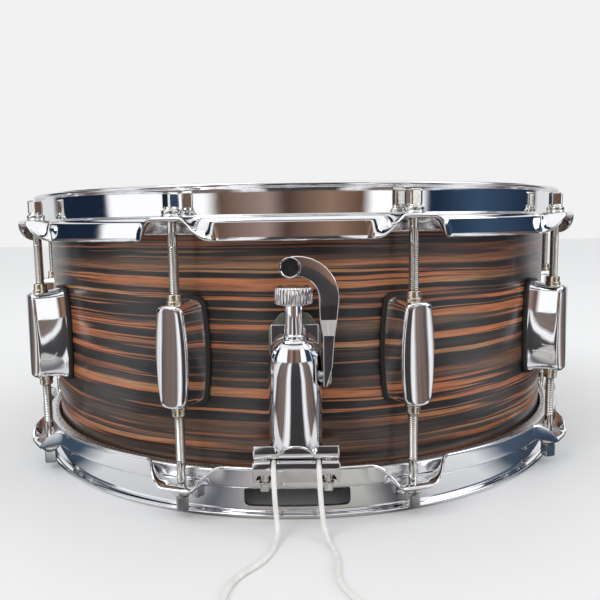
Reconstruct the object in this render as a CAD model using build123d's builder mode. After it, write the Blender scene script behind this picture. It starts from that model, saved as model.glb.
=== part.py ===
"""A fourteen inch by five and a half inch snare drum with ten double-ended lugs a side.

The origin is the centre of the bottom hoop's rim plane, +Z is up through the batter head, and the
strainer faces -Y. Heights in the named values are counted from the drum's mid-height, outwards, so
that the batter and snare sides share them. Angles go round from the strainer, towards +X.
"""

import os
from math import cos, pi, radians, sin, tan

from build123d import *

# Driving dimensions, in millimetres.
shell_diameter = 355.6
shell_depth = 139.7
shell_wall = 6.5
lug_count = 10
rod_offset = 13.8  # rod axis outside the shell
rim_rise = 15.0  # hoop rim beyond the bearing edge

# Bearing edges and snare beds.
edge_inset = 1.6
edge_chamfer = 0.9
bed_depth = 1.2
bed_width = 90.0

# Heads: a film with its collar, and the hoop it is crimped in.
film_thickness = 0.25
collar_gap = 1.4
flesh_drop = 3.15  # top of the flesh hoop below the bearing edge
flesh_height = 6.9
flesh_width = 6.5

# Pressed counterhoops.
hoop_gauge = 2.3
hoop_gap = 2.9  # inside of the hoop wall outside the shell
rim_width = 5.5
skirt_clearance = 1.05
skirt_height = 11.5
bend_radius = 2.5
ear_half = 11.0
ear_reach = 7.4  # ear beyond the rod axis
ear_rise = 11.0  # sideways length of the skirt's S curve beside an ear
gate_half = 27.5
gate_bottom = 4.9  # gate's far edge in from the rim plane
gate_height = 11.2
gate_corner = 3.0

# Tension rods, washers and swivel inserts.
thread_radius = 2.7
shank_radius = 2.35
shank_length = 14.4
rod_length = 51.7
flange_radius = 5.0
flange_height = 2.3
key_size = 6.35
key_height = 8.3
key_chamfer = 0.8
key_turn = 37.0  # each rod's head stands turned this much more than the last
washer_radius = 5.3
washer_thickness = 1.2
washer_hole_clearance = 0.5
turning_clearance = 0.05
insert_radius = 4.3
insert_length = 14.0
insert_end = 31.0

# Lugs, their gaskets and screws.
gasket_thickness = 2.0
lug_length = 57.0
lug_width = 23.0
lug_end_width = 17.0
lug_face_length = 52.5
lug_face_width = 16.5
lug_face_end_width = 11.0
lug_depth = 19.9
lug_bow = 1.8  # how far the lug's ends bow outwards
lug_round = 2.5
screw_radius = 2.0
screw_spacing = 24.0
screw_reach = 9.0
screw_hole_clearance = 0.3
screw_fit = 0.05
screw_head_radius = 3.5
screw_head_height = 2.6
screw_washer_radius = 5.0
screw_washer_thickness = 1.2
seat_clearance = 0.1  # flat washers off the curved inside wall

# Vent.
vent_angle = 108.0
vent_radius = 4.5
vent_wall = 1.5
vent_flange_radius = 9.0
vent_flange = 1.4

# Strainer: gasket, back plate and housing.
pad_half = 12.6
pad_top = 19.0
pad_bottom = -47.0
pad_thickness = 2.2
pad_corner = 4.0
plate_half = 12.0
plate_top = 15.0
plate_bottom = -46.0
plate_thickness = 2.5
housing_top = 9.9
housing_shoulder = -2.0
housing_sides_end = -42.7
housing_bottom = -47.0
housing_top_half = 10.4
housing_half = 13.2
housing_bottom_half = 11.5
housing_side_depth = 7.5
housing_depth = 20.5
housing_wall = 2.0
arch_radius = 9.8
arch_top = -40.8
strainer_screw_heights = (2.0, -34.0)

# Strainer: slide, knob and its shaft.
slide_top = -8.0
slide_clearance = 0.3
slide_nose_half = 7.0
slide_nose_depth = 7.0
shaft_axis = 14.2  # the knob's axis outside the shell
shaft_radius = 4.5
spindle_radius = 3.0
spindle_end = -40.0
shaft_hole_clearance = 0.6
knob_radius = 9.3
knob_bottom = 26.2
knob_height = 8.8
knob_dish = 0.6
knob_ribs = 30
rib_radius = 0.55
drop = 7.0  # how far the slide falls when the lever is thrown

# Strainer: lever.
lever_gauge = 2.4
lever_front = 30.2  # front face of the hook outside the shell
hook_centre = (2.0, 31.0)
hook_outer = 19.2
hook_inner = 9.8
hook_sweep = 98.0
tip_centre = (-1.0, 45.2)
tip_radius = 4.9
tip_front = 36.0
tip_recess = 4.0
tip_wall = 1.0
joggle_heights = (27.0, 21.5, 12.0)
joggle_backs = (0.0, 1.5, 7.5)
lever_low_outer = 18.7
lever_low_height = 5.0
lever_end_height = -12.0
lever_end_outer = 15.6
arm_gap = 0.4
arm_thickness = 2.5
arm_top = 6.0
pivot_out = 15.2
pivot_height = -9.0
pivot_radius = 3.0
arm_radius = 6.0
pivot_head_radius = 4.2
pivot_head = 1.5

# Snare clamp on the slide.
clamp_half = 21.3
block_top = -43.0
block_bottom = -49.4
block_back = 6.2
block_front = 18.2
jaw_gap = 0.4
jaw_bottom = -61.5
jaw_back = 12.5
jaw_front = 22.7
jaw_bevel_height = 7.9
jaw_bevel_depth = 4.5
clamp_screw_x = 15.7
clamp_screw_out = 15.6
clamp_screw_length = 14.0
clamp_head_radius = 3.0
clamp_head_height = 1.2
clamp_key = 4.6
clamp_key_height = 3.6

# Butt plate, opposite the strainer.
butt_half = 20.0
butt_top = -28.0
butt_bottom = -54.0
butt_front = 12.2
butt_pad = 1.5
butt_plate_top = -33.0
butt_plate_bottom = -51.0
butt_plate_thickness = 3.2
butt_screw_x = 16.0
butt_screw_height = -42.0
butt_screw_length = 10.0
butt_screw_reach = 5.5
butt_round = 3.0

# Snares: cords, end plates and wires.
cord_radius = 1.25
cord_x = 11.0
cord_clearance = 0.4
cord_bend = 4.1
cord_gap = 0.35
wire_count = 20
wire_radius = 1.1
wire_pitch = 2.25
wire_length = 272.0
wire_gap = 0.05
end_plate_half = 22.5
end_plate_length = 16.0
end_plate_thickness = 0.85
end_plate_lap = 2.0  # how far the wires run on to an end plate
cord_lap = 10.0
fold_bend = 2.6
front_join_height = -58.0
butt_cord_top = -30.0

# Worked out from the values above.
shell_radius = shell_diameter / 2
edge = shell_depth / 2
rim = edge + rim_rise
mid = rim
rod_circle = shell_radius + rod_offset
flesh_top = edge - flesh_drop
film_top = edge + film_thickness
collar_radius = shell_radius + collar_gap + film_thickness
hoop_inner = shell_radius + hoop_gap
skirt_inner = collar_radius + flesh_width + skirt_clearance
skirt_outer = skirt_inner + hoop_gauge
flange_top = flesh_top + hoop_gauge
washer_top = flange_top + washer_thickness
rod_seat = washer_top + turning_clearance
thread_top = rod_seat - shank_length
rod_tip = rod_seat - rod_length
lug_seat = shell_radius + gasket_thickness
pad_front = shell_radius + pad_thickness
butt_seat = shell_radius + butt_pad
housing_back = pad_front + plate_thickness
lug_angles = [(index + 0.5) * 360 / lug_count for index in range(lug_count)]


def out_of(angle):
    """Unit direction out of the shell at an angle round it."""
    return (sin(radians(angle)), -cos(radians(angle)), 0)


def face_plane(angle, out=0.0):
    """A plane with x round the shell, y up from mid-height and z out of the shell."""
    direction = out_of(angle)
    return Plane(
        origin=(direction[0] * out, direction[1] * out, mid),
        x_dir=(cos(radians(angle)), sin(radians(angle)), 0),
        z_dir=direction,
    )


def level(height):
    """A horizontal plane at a height from the drum's mid-height."""
    return Plane.XY.offset(mid + height)


def rod_plane(angle, side):
    """A plane on a rod's axis at mid-height, whose z runs out of the drum: side is 1 or -1."""
    direction = out_of(angle)
    return Plane(
        origin=(direction[0] * rod_circle, direction[1] * rod_circle, mid),
        x_dir=(cos(radians(angle)), sin(radians(angle)), 0),
        z_dir=(0, 0, side),
    )


def along(plane):
    """The axis a plane's z runs along, for choosing edges by how far out they are."""
    return Axis(tuple(plane.origin), tuple(plane.z_dir))


def keep(builder, name):
    """Label one finished piece and write it."""
    builder.part.label = name
    export_step(builder.part, f"parts/{name}.step")


os.makedirs("parts", exist_ok=True)


# Shell: a plain ply cylinder with 45 degree bearing edges, holes for everything screwed to it, and
# shallow snare beds front and back in the lower edge.
with BuildPart() as shell:
    with BuildSketch(Plane.XZ):
        inner = shell_radius - shell_wall
        peak = shell_radius - edge_inset
        slope = peak - inner
        with BuildLine():
            Polyline(
                (inner, mid - edge + slope),
                (peak, mid - edge),
                (shell_radius - edge_inset + edge_chamfer, mid - edge),
                (shell_radius, mid - edge + edge_inset - edge_chamfer),
                (shell_radius, mid + edge - edge_inset + edge_chamfer),
                (shell_radius - edge_inset + edge_chamfer, mid + edge),
                (peak, mid + edge),
                (inner, mid + edge - slope),
                close=True,
            )
        make_face()
    revolve(axis=Axis.Z)
    bed_radius = (bed_width**2 / 4 + bed_depth**2) / (2 * bed_depth)
    with BuildSketch(Plane.XZ):
        with Locations((0, mid - edge + bed_depth - bed_radius)):
            Circle(bed_radius)
    extrude(amount=shell_radius + shell_wall, both=True, mode=Mode.SUBTRACT)
    for angle in lug_angles:
        with BuildSketch(face_plane(angle)):
            with GridLocations(0, screw_spacing, 1, 2):
                Circle(screw_radius + screw_hole_clearance)
        extrude(amount=shell_radius + 1, mode=Mode.SUBTRACT)
    with BuildSketch(face_plane(0)):
        with Locations(*[(0, height) for height in strainer_screw_heights]):
            Circle(screw_radius + screw_hole_clearance)
    extrude(amount=shell_radius + 1, mode=Mode.SUBTRACT)
    with BuildSketch(face_plane(180)):
        with Locations((0, butt_screw_height)):
            Circle(screw_radius + screw_hole_clearance)
    extrude(amount=shell_radius + 1, mode=Mode.SUBTRACT)
    with BuildSketch(face_plane(vent_angle)):
        Circle(vent_radius + vent_wall)
    extrude(amount=shell_radius + 1, mode=Mode.SUBTRACT)
keep(shell, "shell")

# Vent grommet: a barrel through the shell with a flange on each side of the wall.
with BuildPart() as vent_grommet:
    with BuildSketch(face_plane(vent_angle, shell_radius - shell_wall - vent_flange)):
        Circle(vent_radius + vent_wall)
    extrude(amount=shell_wall + 2 * vent_flange)
    for inner_face in (shell_radius - shell_wall - vent_flange, shell_radius):
        with BuildSketch(face_plane(vent_angle, inner_face)):
            Circle(vent_flange_radius)
        extrude(amount=vent_flange)
    with BuildSketch(face_plane(vent_angle, shell_radius - shell_wall - vent_flange)):
        Circle(vent_radius)
    extrude(amount=shell_wall + 2 * vent_flange, mode=Mode.SUBTRACT)
    add(shell.part, mode=Mode.SUBTRACT)
keep(vent_grommet, "vent_grommet")


def head_film():
    """The batter side's film: flat over the bearing edge, with a collar down to the flesh hoop."""
    with BuildPart() as film:
        with BuildSketch(Plane.XZ):
            peak = shell_radius - edge_inset + edge_chamfer
            corner = edge - edge_inset + edge_chamfer
            low = flesh_top - flesh_height + 1
            lean = film_thickness / 2
            with BuildLine():
                Polyline(
                    (0, mid + edge),
                    (peak, mid + edge),
                    (shell_radius, mid + corner),
                    (collar_radius - film_thickness, mid + flesh_top),
                    (collar_radius - film_thickness, mid + low),
                    (collar_radius, mid + low),
                    (collar_radius, mid + flesh_top),
                    (shell_radius + film_thickness, mid + corner + lean),
                    (peak + lean, mid + film_top),
                    (0, mid + film_top),
                    close=True,
                )
            make_face()
        revolve(axis=Axis.Z)
    return film


def flesh_hoop():
    """The batter side's aluminium ring round the film's collar."""
    with BuildPart() as ring:
        with BuildSketch(level(flesh_top - flesh_height)):
            Circle(collar_radius + flesh_width)
            Circle(collar_radius, mode=Mode.SUBTRACT)
        extrude(amount=flesh_height)
        outer = ring.faces().filter_by(GeomType.CYLINDER).sort_by(SortBy.RADIUS)[-1]
        fillet(outer.edges().filter_by(GeomType.CIRCLE), 1.5)
    return ring


def counterhoop():
    """The batter side's pressed hoop: rim, wall, flange and skirt, with an ear at each rod."""
    wall = hoop_inner + hoop_gauge
    with BuildPart() as hoop:
        with BuildSketch(Plane.XZ):
            with BuildLine():
                FilletPolyline(
                    (hoop_inner + rim_width, mid + rim),
                    (hoop_inner, mid + rim),
                    (hoop_inner, mid + flesh_top),
                    (skirt_inner, mid + flesh_top),
                    (skirt_inner, mid + flange_top - skirt_height),
                    radius=0.8,
                )
                Line(
                    (skirt_inner, mid + flange_top - skirt_height),
                    (skirt_outer, mid + flange_top - skirt_height),
                )
                FilletPolyline(
                    (skirt_outer, mid + flange_top - skirt_height),
                    (skirt_outer, mid + flange_top),
                    (wall, mid + flange_top),
                    (wall, mid + rim - hoop_gauge),
                    (hoop_inner + rim_width, mid + rim - hoop_gauge),
                    radius=1.5,
                )
                Line(
                    (hoop_inner + rim_width, mid + rim - hoop_gauge),
                    (hoop_inner + rim_width, mid + rim),
                )
            make_face()
        revolve(axis=Axis.Z)
        skirt_low = flange_top - skirt_height
        half_way = ((ear_half + ear_rise / 2), (flesh_top + skirt_low) / 2)
        for angle in lug_angles:
            with BuildSketch(face_plane(angle, skirt_inner - 0.3)):
                with BuildLine():
                    TangentArc((ear_half + ear_rise, skirt_low), half_way, tangent=(-1, 0))
                    TangentArc((ear_half, flesh_top), half_way, tangent=(1, 0))
                    Line((ear_half, flesh_top), (0, flesh_top))
                    Line((0, flesh_top), (0, skirt_low - 1))
                    Line((0, skirt_low - 1), (ear_half + ear_rise, skirt_low - 1))
                    Line((ear_half + ear_rise, skirt_low - 1), (ear_half + ear_rise, skirt_low))
                make_face()
                mirror(about=Plane.YZ)
            extrude(amount=skirt_outer - skirt_inner + 4, mode=Mode.SUBTRACT)
        for angle in lug_angles:
            with BuildSketch(rod_plane(angle, 1).offset(flesh_top)) as ear:
                ear_depth = rod_circle + ear_reach - wall
                with Locations((0, rod_offset - hoop_gap - hoop_gauge - ear_depth / 2)):
                    Rectangle(2 * ear_half, ear_depth)
                fillet(ear.vertices().group_by(Axis.Y)[0], 4.5)
            extrude(amount=hoop_gauge)
        with PolarLocations(rod_circle, lug_count, start_angle=lug_angles[0] - 90):
            Cylinder(thread_radius + washer_hole_clearance, 4 * rim, mode=Mode.SUBTRACT)
    return hoop


def other_side(part):
    """The same piece turned over to the snare side."""
    with BuildPart() as turned:
        add(part)
        mirror(about=level(0), mode=Mode.REPLACE)
    return turned


batter_film = head_film()
batter_ring = flesh_hoop()
batter_hoop = counterhoop()
keep(batter_film, "batter_head_film")
keep(batter_ring, "batter_head_hoop")
keep(batter_hoop, "batter_hoop")
keep(other_side(batter_film.part), "snare_head_film")
keep(other_side(batter_ring.part), "snare_head_hoop")

# Snare side hoop: the same pressing with a window in its wall for the snare cords, front and back.
with BuildPart() as snare_hoop:
    add(other_side(batter_hoop.part).part)
    for angle in (0, 180):
        with BuildSketch(face_plane(angle, hoop_inner - 2)):
            with Locations((0, -rim + gate_bottom + gate_height / 2)):
                RectangleRounded(2 * gate_half, gate_height, gate_corner)
        extrude(amount=hoop_gauge + 4, mode=Mode.SUBTRACT)
keep(snare_hoop, "snare_hoop")


def tension_rod(angle, side, turn):
    """A rod with its thread in a lug's insert and its square head outside the hoop's ear."""
    plane = rod_plane(angle, side)
    with BuildPart() as rod:
        with BuildSketch(plane.offset(rod_tip)):
            Circle(thread_radius)
        extrude(amount=thread_top - rod_tip)
        with BuildSketch(plane.offset(thread_top)):
            Circle(shank_radius)
        extrude(amount=rod_seat - thread_top)
        with BuildSketch(plane.offset(rod_seat)):
            Circle(flange_radius)
        extrude(amount=flange_height)
        chamfer(rod.edges().group_by(along(plane))[-1], key_chamfer)
        with BuildSketch(plane.offset(rod_seat + flange_height)):
            Rectangle(key_size, key_size, rotation=turn)
        extrude(amount=key_height)
        chamfer(rod.edges().group_by(along(plane))[-1], key_chamfer)
    return rod


for index, angle in enumerate(lug_angles):
    keep(tension_rod(angle, 1, index * key_turn), f"top_rod_{index + 1:02d}")
    keep(tension_rod(angle, -1, -index * key_turn), f"bottom_rod_{index + 1:02d}")

with BuildPart() as rod_washers:
    for angle in lug_angles:
        for side in (1, -1):
            with BuildSketch(rod_plane(angle, side).offset(flange_top)):
                Circle(washer_radius)
                Circle(thread_radius + washer_hole_clearance, mode=Mode.SUBTRACT)
            extrude(amount=washer_thickness)
keep(rod_washers, "rod_washers")

# Swivel inserts: the threaded barrels in the ends of the lugs that the rods screw into.
with BuildPart() as lug_inserts:
    for angle in lug_angles:
        for side in (1, -1):
            with BuildSketch(rod_plane(angle, side).offset(insert_end - insert_length)):
                Circle(insert_radius)
                Circle(thread_radius + turning_clearance, mode=Mode.SUBTRACT)
            extrude(amount=insert_length)
keep(lug_inserts, "lug_inserts")


def barrel_outline(length, middle, end):
    """A lug's outline: sides bowed from end to middle width, and bowed ends."""
    straight = length / 2 - lug_bow
    with BuildSketch() as outline:
        with BuildLine():
            ThreePointArc((-end / 2, straight), (0, length / 2), (end / 2, straight))
            ThreePointArc((end / 2, straight), (middle / 2, 0), (end / 2, -straight))
            ThreePointArc((end / 2, -straight), (0, -length / 2), (-end / 2, -straight))
            ThreePointArc((-end / 2, -straight), (-middle / 2, 0), (-end / 2, straight))
        make_face()
    return outline.sketch


# One lug: a casting lofted from its base to its face, with a pocket in each end for an insert and
# two holes for the screws that hold it on.
with BuildPart() as lug:
    with BuildSketch(face_plane(0, shell_radius)):
        add(barrel_outline(lug_length, lug_width, lug_end_width))
    with BuildSketch(face_plane(0, lug_seat + lug_depth)):
        add(barrel_outline(lug_face_length, lug_face_width, lug_face_end_width))
    loft()
    fillet(lug.faces().sort_by(Axis.Y)[0].edges(), lug_round)
    with BuildSketch(Plane.XY):
        Circle(lug_seat)
    extrude(amount=2 * mid, mode=Mode.SUBTRACT)
    for side in (1, -1):
        with BuildSketch(rod_plane(0, side).offset(insert_end - insert_length - 0.5)):
            Circle(insert_radius + screw_fit)
        extrude(amount=insert_length, mode=Mode.SUBTRACT)
    with BuildSketch(face_plane(0)):
        with GridLocations(0, screw_spacing, 1, 2):
            Circle(screw_radius + screw_fit)
    extrude(amount=lug_seat + screw_reach + 0.5, mode=Mode.SUBTRACT)

for index, angle in enumerate(lug_angles):
    with BuildPart() as placed:
        with Locations(Location((0, 0, 0), (0, 0, angle))):
            add(lug.part)
    keep(placed, f"lug_{index + 1:02d}")


def gasket(outline, thickness):
    """A flat gasket's outline, placed on its plane, as a pad that follows the shell."""
    with BuildPart() as pad:
        extrude(outline, amount=thickness + 4)
        with BuildSketch(Plane.XY):
            Circle(shell_radius + thickness)
        extrude(amount=2 * mid, mode=Mode.INTERSECT)
        with BuildSketch(Plane.XY):
            Circle(shell_radius)
        extrude(amount=2 * mid, mode=Mode.SUBTRACT)
    return pad.part


with BuildPart() as gaskets:
    for angle in lug_angles:
        with BuildSketch(face_plane(angle, shell_radius - 2)) as outline:
            add(barrel_outline(lug_length, lug_width, lug_end_width))
            with GridLocations(0, screw_spacing, 1, 2):
                Circle(screw_radius + screw_hole_clearance, mode=Mode.SUBTRACT)
        add(gasket(outline.sketch, gasket_thickness))
    with BuildSketch(face_plane(0, shell_radius - 2)) as outline:
        with Locations((0, (pad_top + pad_bottom) / 2)):
            RectangleRounded(2 * pad_half, pad_top - pad_bottom, pad_corner)
        with Locations(*[(0, height) for height in strainer_screw_heights]):
            Circle(screw_radius + screw_hole_clearance, mode=Mode.SUBTRACT)
    add(gasket(outline.sketch, pad_thickness))
    with BuildSketch(face_plane(180, shell_radius - 2)) as outline:
        with Locations((0, (butt_top + butt_bottom) / 2)):
            RectangleRounded(2 * butt_half, butt_top - butt_bottom, butt_round)
        with Locations((0, butt_screw_height)):
            Circle(screw_radius + screw_hole_clearance, mode=Mode.SUBTRACT)
    add(gasket(outline.sketch, butt_pad))
keep(gaskets, "gaskets")


def wall_screws(angle, heights, tip):
    """Screws from inside the shell at some heights, each with its washer, up to a tip radius."""
    seat = shell_radius - shell_wall - seat_clearance
    under_head = seat - screw_washer_thickness
    layers = (
        (under_head, screw_washer_radius, screw_washer_thickness),
        (under_head - screw_head_height, screw_head_radius, screw_head_height),
        (under_head, screw_radius, tip - under_head),
    )
    with BuildPart() as screws:
        for start, radius, length in layers:
            with BuildSketch(face_plane(angle, start)):
                with Locations(*[(0, height) for height in heights]):
                    Circle(radius)
            extrude(amount=length)
    return screws.part


with BuildPart() as shell_screws:
    for angle in lug_angles:
        add(wall_screws(angle, (-screw_spacing / 2, screw_spacing / 2), lug_seat + screw_reach))
    add(wall_screws(0, strainer_screw_heights, housing_back - screw_fit))
    add(wall_screws(180, (butt_screw_height,), butt_seat + butt_screw_reach))
keep(shell_screws, "shell_screws")

# Strainer back plate, flat on its gasket.
with BuildPart() as strainer_back_plate:
    with BuildSketch(face_plane(0, pad_front)):
        with Locations((0, (plate_top + plate_bottom) / 2)):
            Rectangle(2 * plate_half, plate_top - plate_bottom)
        with Locations(*[(0, height) for height in strainer_screw_heights]):
            Circle(screw_radius + screw_fit, mode=Mode.SUBTRACT)
    extrude(amount=plate_thickness)
keep(strainer_back_plate, "strainer_back_plate")


def dome_section(half, side_depth, depth):
    """One level section of the housing: straight sides off the back plate and a round front."""
    back = -housing_back
    with BuildSketch() as section:
        with BuildLine():
            Line((-half, back), (half, back))
            Line((half, back), (half, back - side_depth))
            ThreePointArc((half, back - side_depth), (0, back - depth), (-half, back - side_depth))
            Line((-half, back - side_depth), (-half, back))
        make_face()
    return section.sketch


slide_half = housing_half - housing_wall - slide_clearance
block_room = (housing_half + 1, block_front + slide_clearance)

# Strainer housing: a half-round shell, open at the back and below, with shoulders at the top, an
# apron that tapers in front of the clamp block, and an arch through the apron.
with BuildPart() as strainer_housing:
    inner_half = housing_half - housing_wall
    levels = (
        (housing_top, housing_top_half, housing_side_depth - 1.5, housing_depth - 2.5),
        (housing_shoulder, housing_half, housing_side_depth, housing_depth),
        (housing_sides_end, housing_half, housing_side_depth, housing_depth),
        (housing_bottom, housing_bottom_half, housing_side_depth, housing_depth - 1),
    )
    for pair in zip(levels, levels[1:]):
        for height, *sizes in pair:
            with BuildSketch(level(height)):
                add(dome_section(*sizes))
        loft(ruled=True)
    with BuildSketch(level(housing_bottom - 1)):
        add(dome_section(inner_half, housing_side_depth, housing_depth - housing_wall))
    extrude(amount=housing_shoulder - housing_bottom - 1, mode=Mode.SUBTRACT)
    with BuildSketch(level(0)):
        with Locations((0, -shell_radius - shaft_axis)):
            Circle(shaft_radius + shaft_hole_clearance)
    extrude(amount=housing_top + 1, both=True, mode=Mode.SUBTRACT)
    with BuildSketch(face_plane(0, housing_back)):
        with Locations((0, (housing_sides_end + housing_bottom) / 2 - 1)):
            Rectangle(2 * block_room[0], housing_sides_end - housing_bottom + 2)
    extrude(amount=shell_radius + block_room[1] - housing_back, mode=Mode.SUBTRACT)
    with BuildSketch(face_plane(0, shell_radius + block_front)):
        with Locations((0, arch_top - arch_radius)):
            Circle(arch_radius)
    extrude(amount=housing_depth, mode=Mode.SUBTRACT)
    pivot = Plane(
        origin=(0, -shell_radius - pivot_out, mid + pivot_height), x_dir=(0, 1, 0), z_dir=(1, 0, 0)
    )
    with BuildSketch(pivot.offset(inner_half - 1)):
        Circle(pivot_radius + screw_fit)
    extrude(amount=housing_wall + 2, mode=Mode.SUBTRACT)
keep(strainer_housing, "strainer_housing")

# Slide: the block inside the housing that the knob's spindle turns in.
with BuildPart() as strainer_slide:
    with BuildSketch(level(block_top)):
        back = -housing_back - slide_clearance
        with Locations((0, back - (housing_side_depth - 1) / 2)):
            Rectangle(2 * slide_half, housing_side_depth - 1)
        with Locations((0, back - housing_side_depth + 1 - slide_nose_depth / 2)):
            Rectangle(2 * slide_nose_half, slide_nose_depth)
        with Locations((0, -shell_radius - shaft_axis)):
            Circle(spindle_radius + turning_clearance, mode=Mode.SUBTRACT)
    extrude(amount=slide_top - block_top)
keep(strainer_slide, "strainer_slide")

# Adjusting knob: ribbed rim, dished top, shaft and spindle in one turned piece.
with BuildPart() as adjusting_knob:
    with BuildSketch(level(spindle_end)):
        with Locations((0, -shell_radius - shaft_axis)):
            Circle(spindle_radius)
    extrude(amount=knob_bottom - spindle_end)
    with BuildSketch(level(slide_top + turning_clearance)):
        with Locations((0, -shell_radius - shaft_axis)):
            Circle(shaft_radius)
    extrude(amount=knob_bottom - slide_top)
    with BuildSketch(level(knob_bottom)):
        with Locations((0, -shell_radius - shaft_axis)):
            Circle(knob_radius)
            with PolarLocations(knob_radius, knob_ribs):
                Circle(rib_radius, mode=Mode.SUBTRACT)
    extrude(amount=knob_height)
    with BuildSketch(level(knob_bottom + knob_height)):
        with Locations((0, -shell_radius - shaft_axis)):
            Circle(knob_radius - 1.6)
    extrude(amount=-knob_dish, mode=Mode.SUBTRACT)
keep(adjusting_knob, "adjusting_knob")

# Lever: a bent strip with a hook over the knob, and an arm beside the housing for its pivot.
lever_face = -shell_radius - lever_front
strip_inner = hook_centre[0] + hook_inner
strip_outer = hook_centre[0] + hook_outer
beside = housing_half + arm_gap
with BuildPart() as strainer_lever:
    with BuildSketch(Plane.YZ.offset(-hook_outer)):
        with BuildLine():
            steps = [
                (lever_face + back, mid + height)
                for back, height in zip(joggle_backs, joggle_heights)
            ]
            top = mid + hook_centre[1] + hook_outer + 1
            low = mid + lever_end_height - 1
            behind = [(y + lever_gauge, z) for y, z in steps]
            Polyline(
                (lever_face, top),
                *steps,
                (steps[-1][0], low),
                (behind[-1][0], low),
                *reversed(behind),
                (lever_face + lever_gauge, top),
                close=True,
            )
        make_face()
    extrude(amount=2 * hook_outer + strip_outer)
    with BuildSketch(face_plane(0, shell_radius)):
        with BuildLine():
            Polyline(
                (strip_inner, hook_centre[1]),
                (strip_inner, joggle_heights[1]),
                (beside, joggle_heights[2]),
                (beside, lever_end_height),
                (lever_end_outer, lever_end_height),
                (lever_low_outer, lever_low_height),
                (strip_outer, joggle_heights[1]),
                (strip_outer, hook_centre[1]),
                close=True,
            )
        make_face()
        with BuildLine():
            CenterArc(hook_centre, hook_outer, 0, hook_sweep)
            CenterArc(hook_centre, hook_inner, 0, hook_sweep)
            Line((strip_inner, hook_centre[1]), (strip_outer, hook_centre[1]))
            PolarLine(
                (
                    hook_centre[0] + hook_inner * cos(radians(hook_sweep)),
                    hook_centre[1] + hook_inner * sin(radians(hook_sweep)),
                ),
                hook_outer - hook_inner,
                hook_sweep,
            )
        make_face()
        with Locations(tip_centre):
            Circle(tip_radius)
    extrude(amount=lever_front + 1, mode=Mode.INTERSECT)
    with BuildSketch(pivot.offset(beside)):
        Circle(arm_radius)
        with Locations((0, (arm_top - pivot_height) / 2)):
            Rectangle(2 * arm_radius, arm_top - pivot_height)
        with BuildLine():
            reach = -(lever_face + joggle_backs[2] + lever_gauge / 2 + shell_radius + pivot_out)
            Polyline(
                (0, lever_end_height - pivot_height),
                (-reach, lever_end_height - pivot_height),
                (-reach, arm_top - pivot_height),
                (0, arm_top - pivot_height),
                close=True,
            )
        make_face()
        Circle(pivot_radius + turning_clearance, mode=Mode.SUBTRACT)
    extrude(amount=arm_thickness)
keep(strainer_lever, "strainer_lever")

# Grip tube pressed on the lever's tip.
with BuildPart() as lever_tip:
    with BuildSketch(face_plane(0, shell_radius + lever_front)):
        with Locations(tip_centre):
            Circle(tip_radius)
    extrude(amount=tip_front - lever_front)
    with BuildSketch(face_plane(0, shell_radius + tip_front)):
        with Locations(tip_centre):
            Circle(tip_radius - tip_wall)
    extrude(amount=-tip_recess, mode=Mode.SUBTRACT)
keep(lever_tip, "lever_tip")

# Pivot pin: fixed in the housing's wall, with its head outside the lever's arm.
with BuildPart() as lever_pivot_pin:
    with BuildSketch(pivot.offset(slide_half + slide_clearance)):
        Circle(pivot_radius)
    extrude(amount=beside + arm_thickness + 2 * turning_clearance - slide_half - slide_clearance)
    with BuildSketch(pivot.offset(beside + arm_thickness + 2 * turning_clearance)):
        Circle(pivot_head_radius)
    extrude(amount=pivot_head)
    chamfer(lever_pivot_pin.edges().group_by(Axis.X)[-1], 0.5)
keep(lever_pivot_pin, "lever_pivot_pin")

# Snare clamp: a block fixed under the slide, and a jaw drawn up to it by two key screws. Each snare
# cord runs up a groove in the jaw's back, over its top and down its front.
jaw_top = block_bottom - jaw_gap
jaw_height = jaw_top - jaw_bottom
groove = cord_radius + cord_clearance
cord_back = skirt_outer + cord_gap + cord_radius
cord_top = jaw_top - groove + jaw_gap
with BuildPart() as snare_clamp_block:
    with BuildSketch(face_plane(0, shell_radius + block_back)):
        with Locations((0, (block_top + block_bottom) / 2)):
            Rectangle(2 * clamp_half, block_top - block_bottom)
    extrude(amount=block_front - block_back)
    fillet(snare_clamp_block.edges().filter_by(Axis.Z), 1)
    with BuildSketch(level(block_bottom)):
        with Locations(*[(side * clamp_screw_x, -shell_radius - clamp_screw_out) for side in (1, -1)]):
            Circle(screw_radius + screw_fit)
    extrude(amount=block_top - block_bottom - 1, mode=Mode.SUBTRACT)
keep(snare_clamp_block, "snare_clamp_block")

with BuildPart() as snare_clamp_jaw:
    with BuildSketch(Plane.YZ.offset(-clamp_half)):
        with BuildLine():
            Polyline(
                (-shell_radius - jaw_back, mid + jaw_top),
                (-shell_radius - jaw_front, mid + jaw_top),
                (-shell_radius - jaw_front, mid + jaw_bottom + jaw_bevel_height),
                (-shell_radius - jaw_front + jaw_bevel_depth, mid + jaw_bottom),
                (-shell_radius - jaw_back, mid + jaw_bottom),
                close=True,
            )
        make_face()
    extrude(amount=2 * clamp_half)
    for side in (1, -1):
        with BuildSketch(level(jaw_bottom)):
            with Locations((side * cord_x, -shell_radius - jaw_back)):
                Rectangle(2 * groove, 2 * (cord_back + groove - shell_radius - jaw_back))
        extrude(amount=jaw_height, mode=Mode.SUBTRACT)
        with BuildSketch(face_plane(0, shell_radius)):
            with Locations((side * cord_x, jaw_top)):
                Rectangle(2 * groove, 2 * (2 * groove - jaw_gap))
        extrude(amount=jaw_front + 1, mode=Mode.SUBTRACT)
    with BuildSketch(level(jaw_bottom)):
        with Locations(*[(side * clamp_screw_x, -shell_radius - clamp_screw_out) for side in (1, -1)]):
            Circle(screw_radius + screw_hole_clearance)
    extrude(amount=jaw_height, mode=Mode.SUBTRACT)
keep(snare_clamp_jaw, "snare_clamp_jaw")

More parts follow.
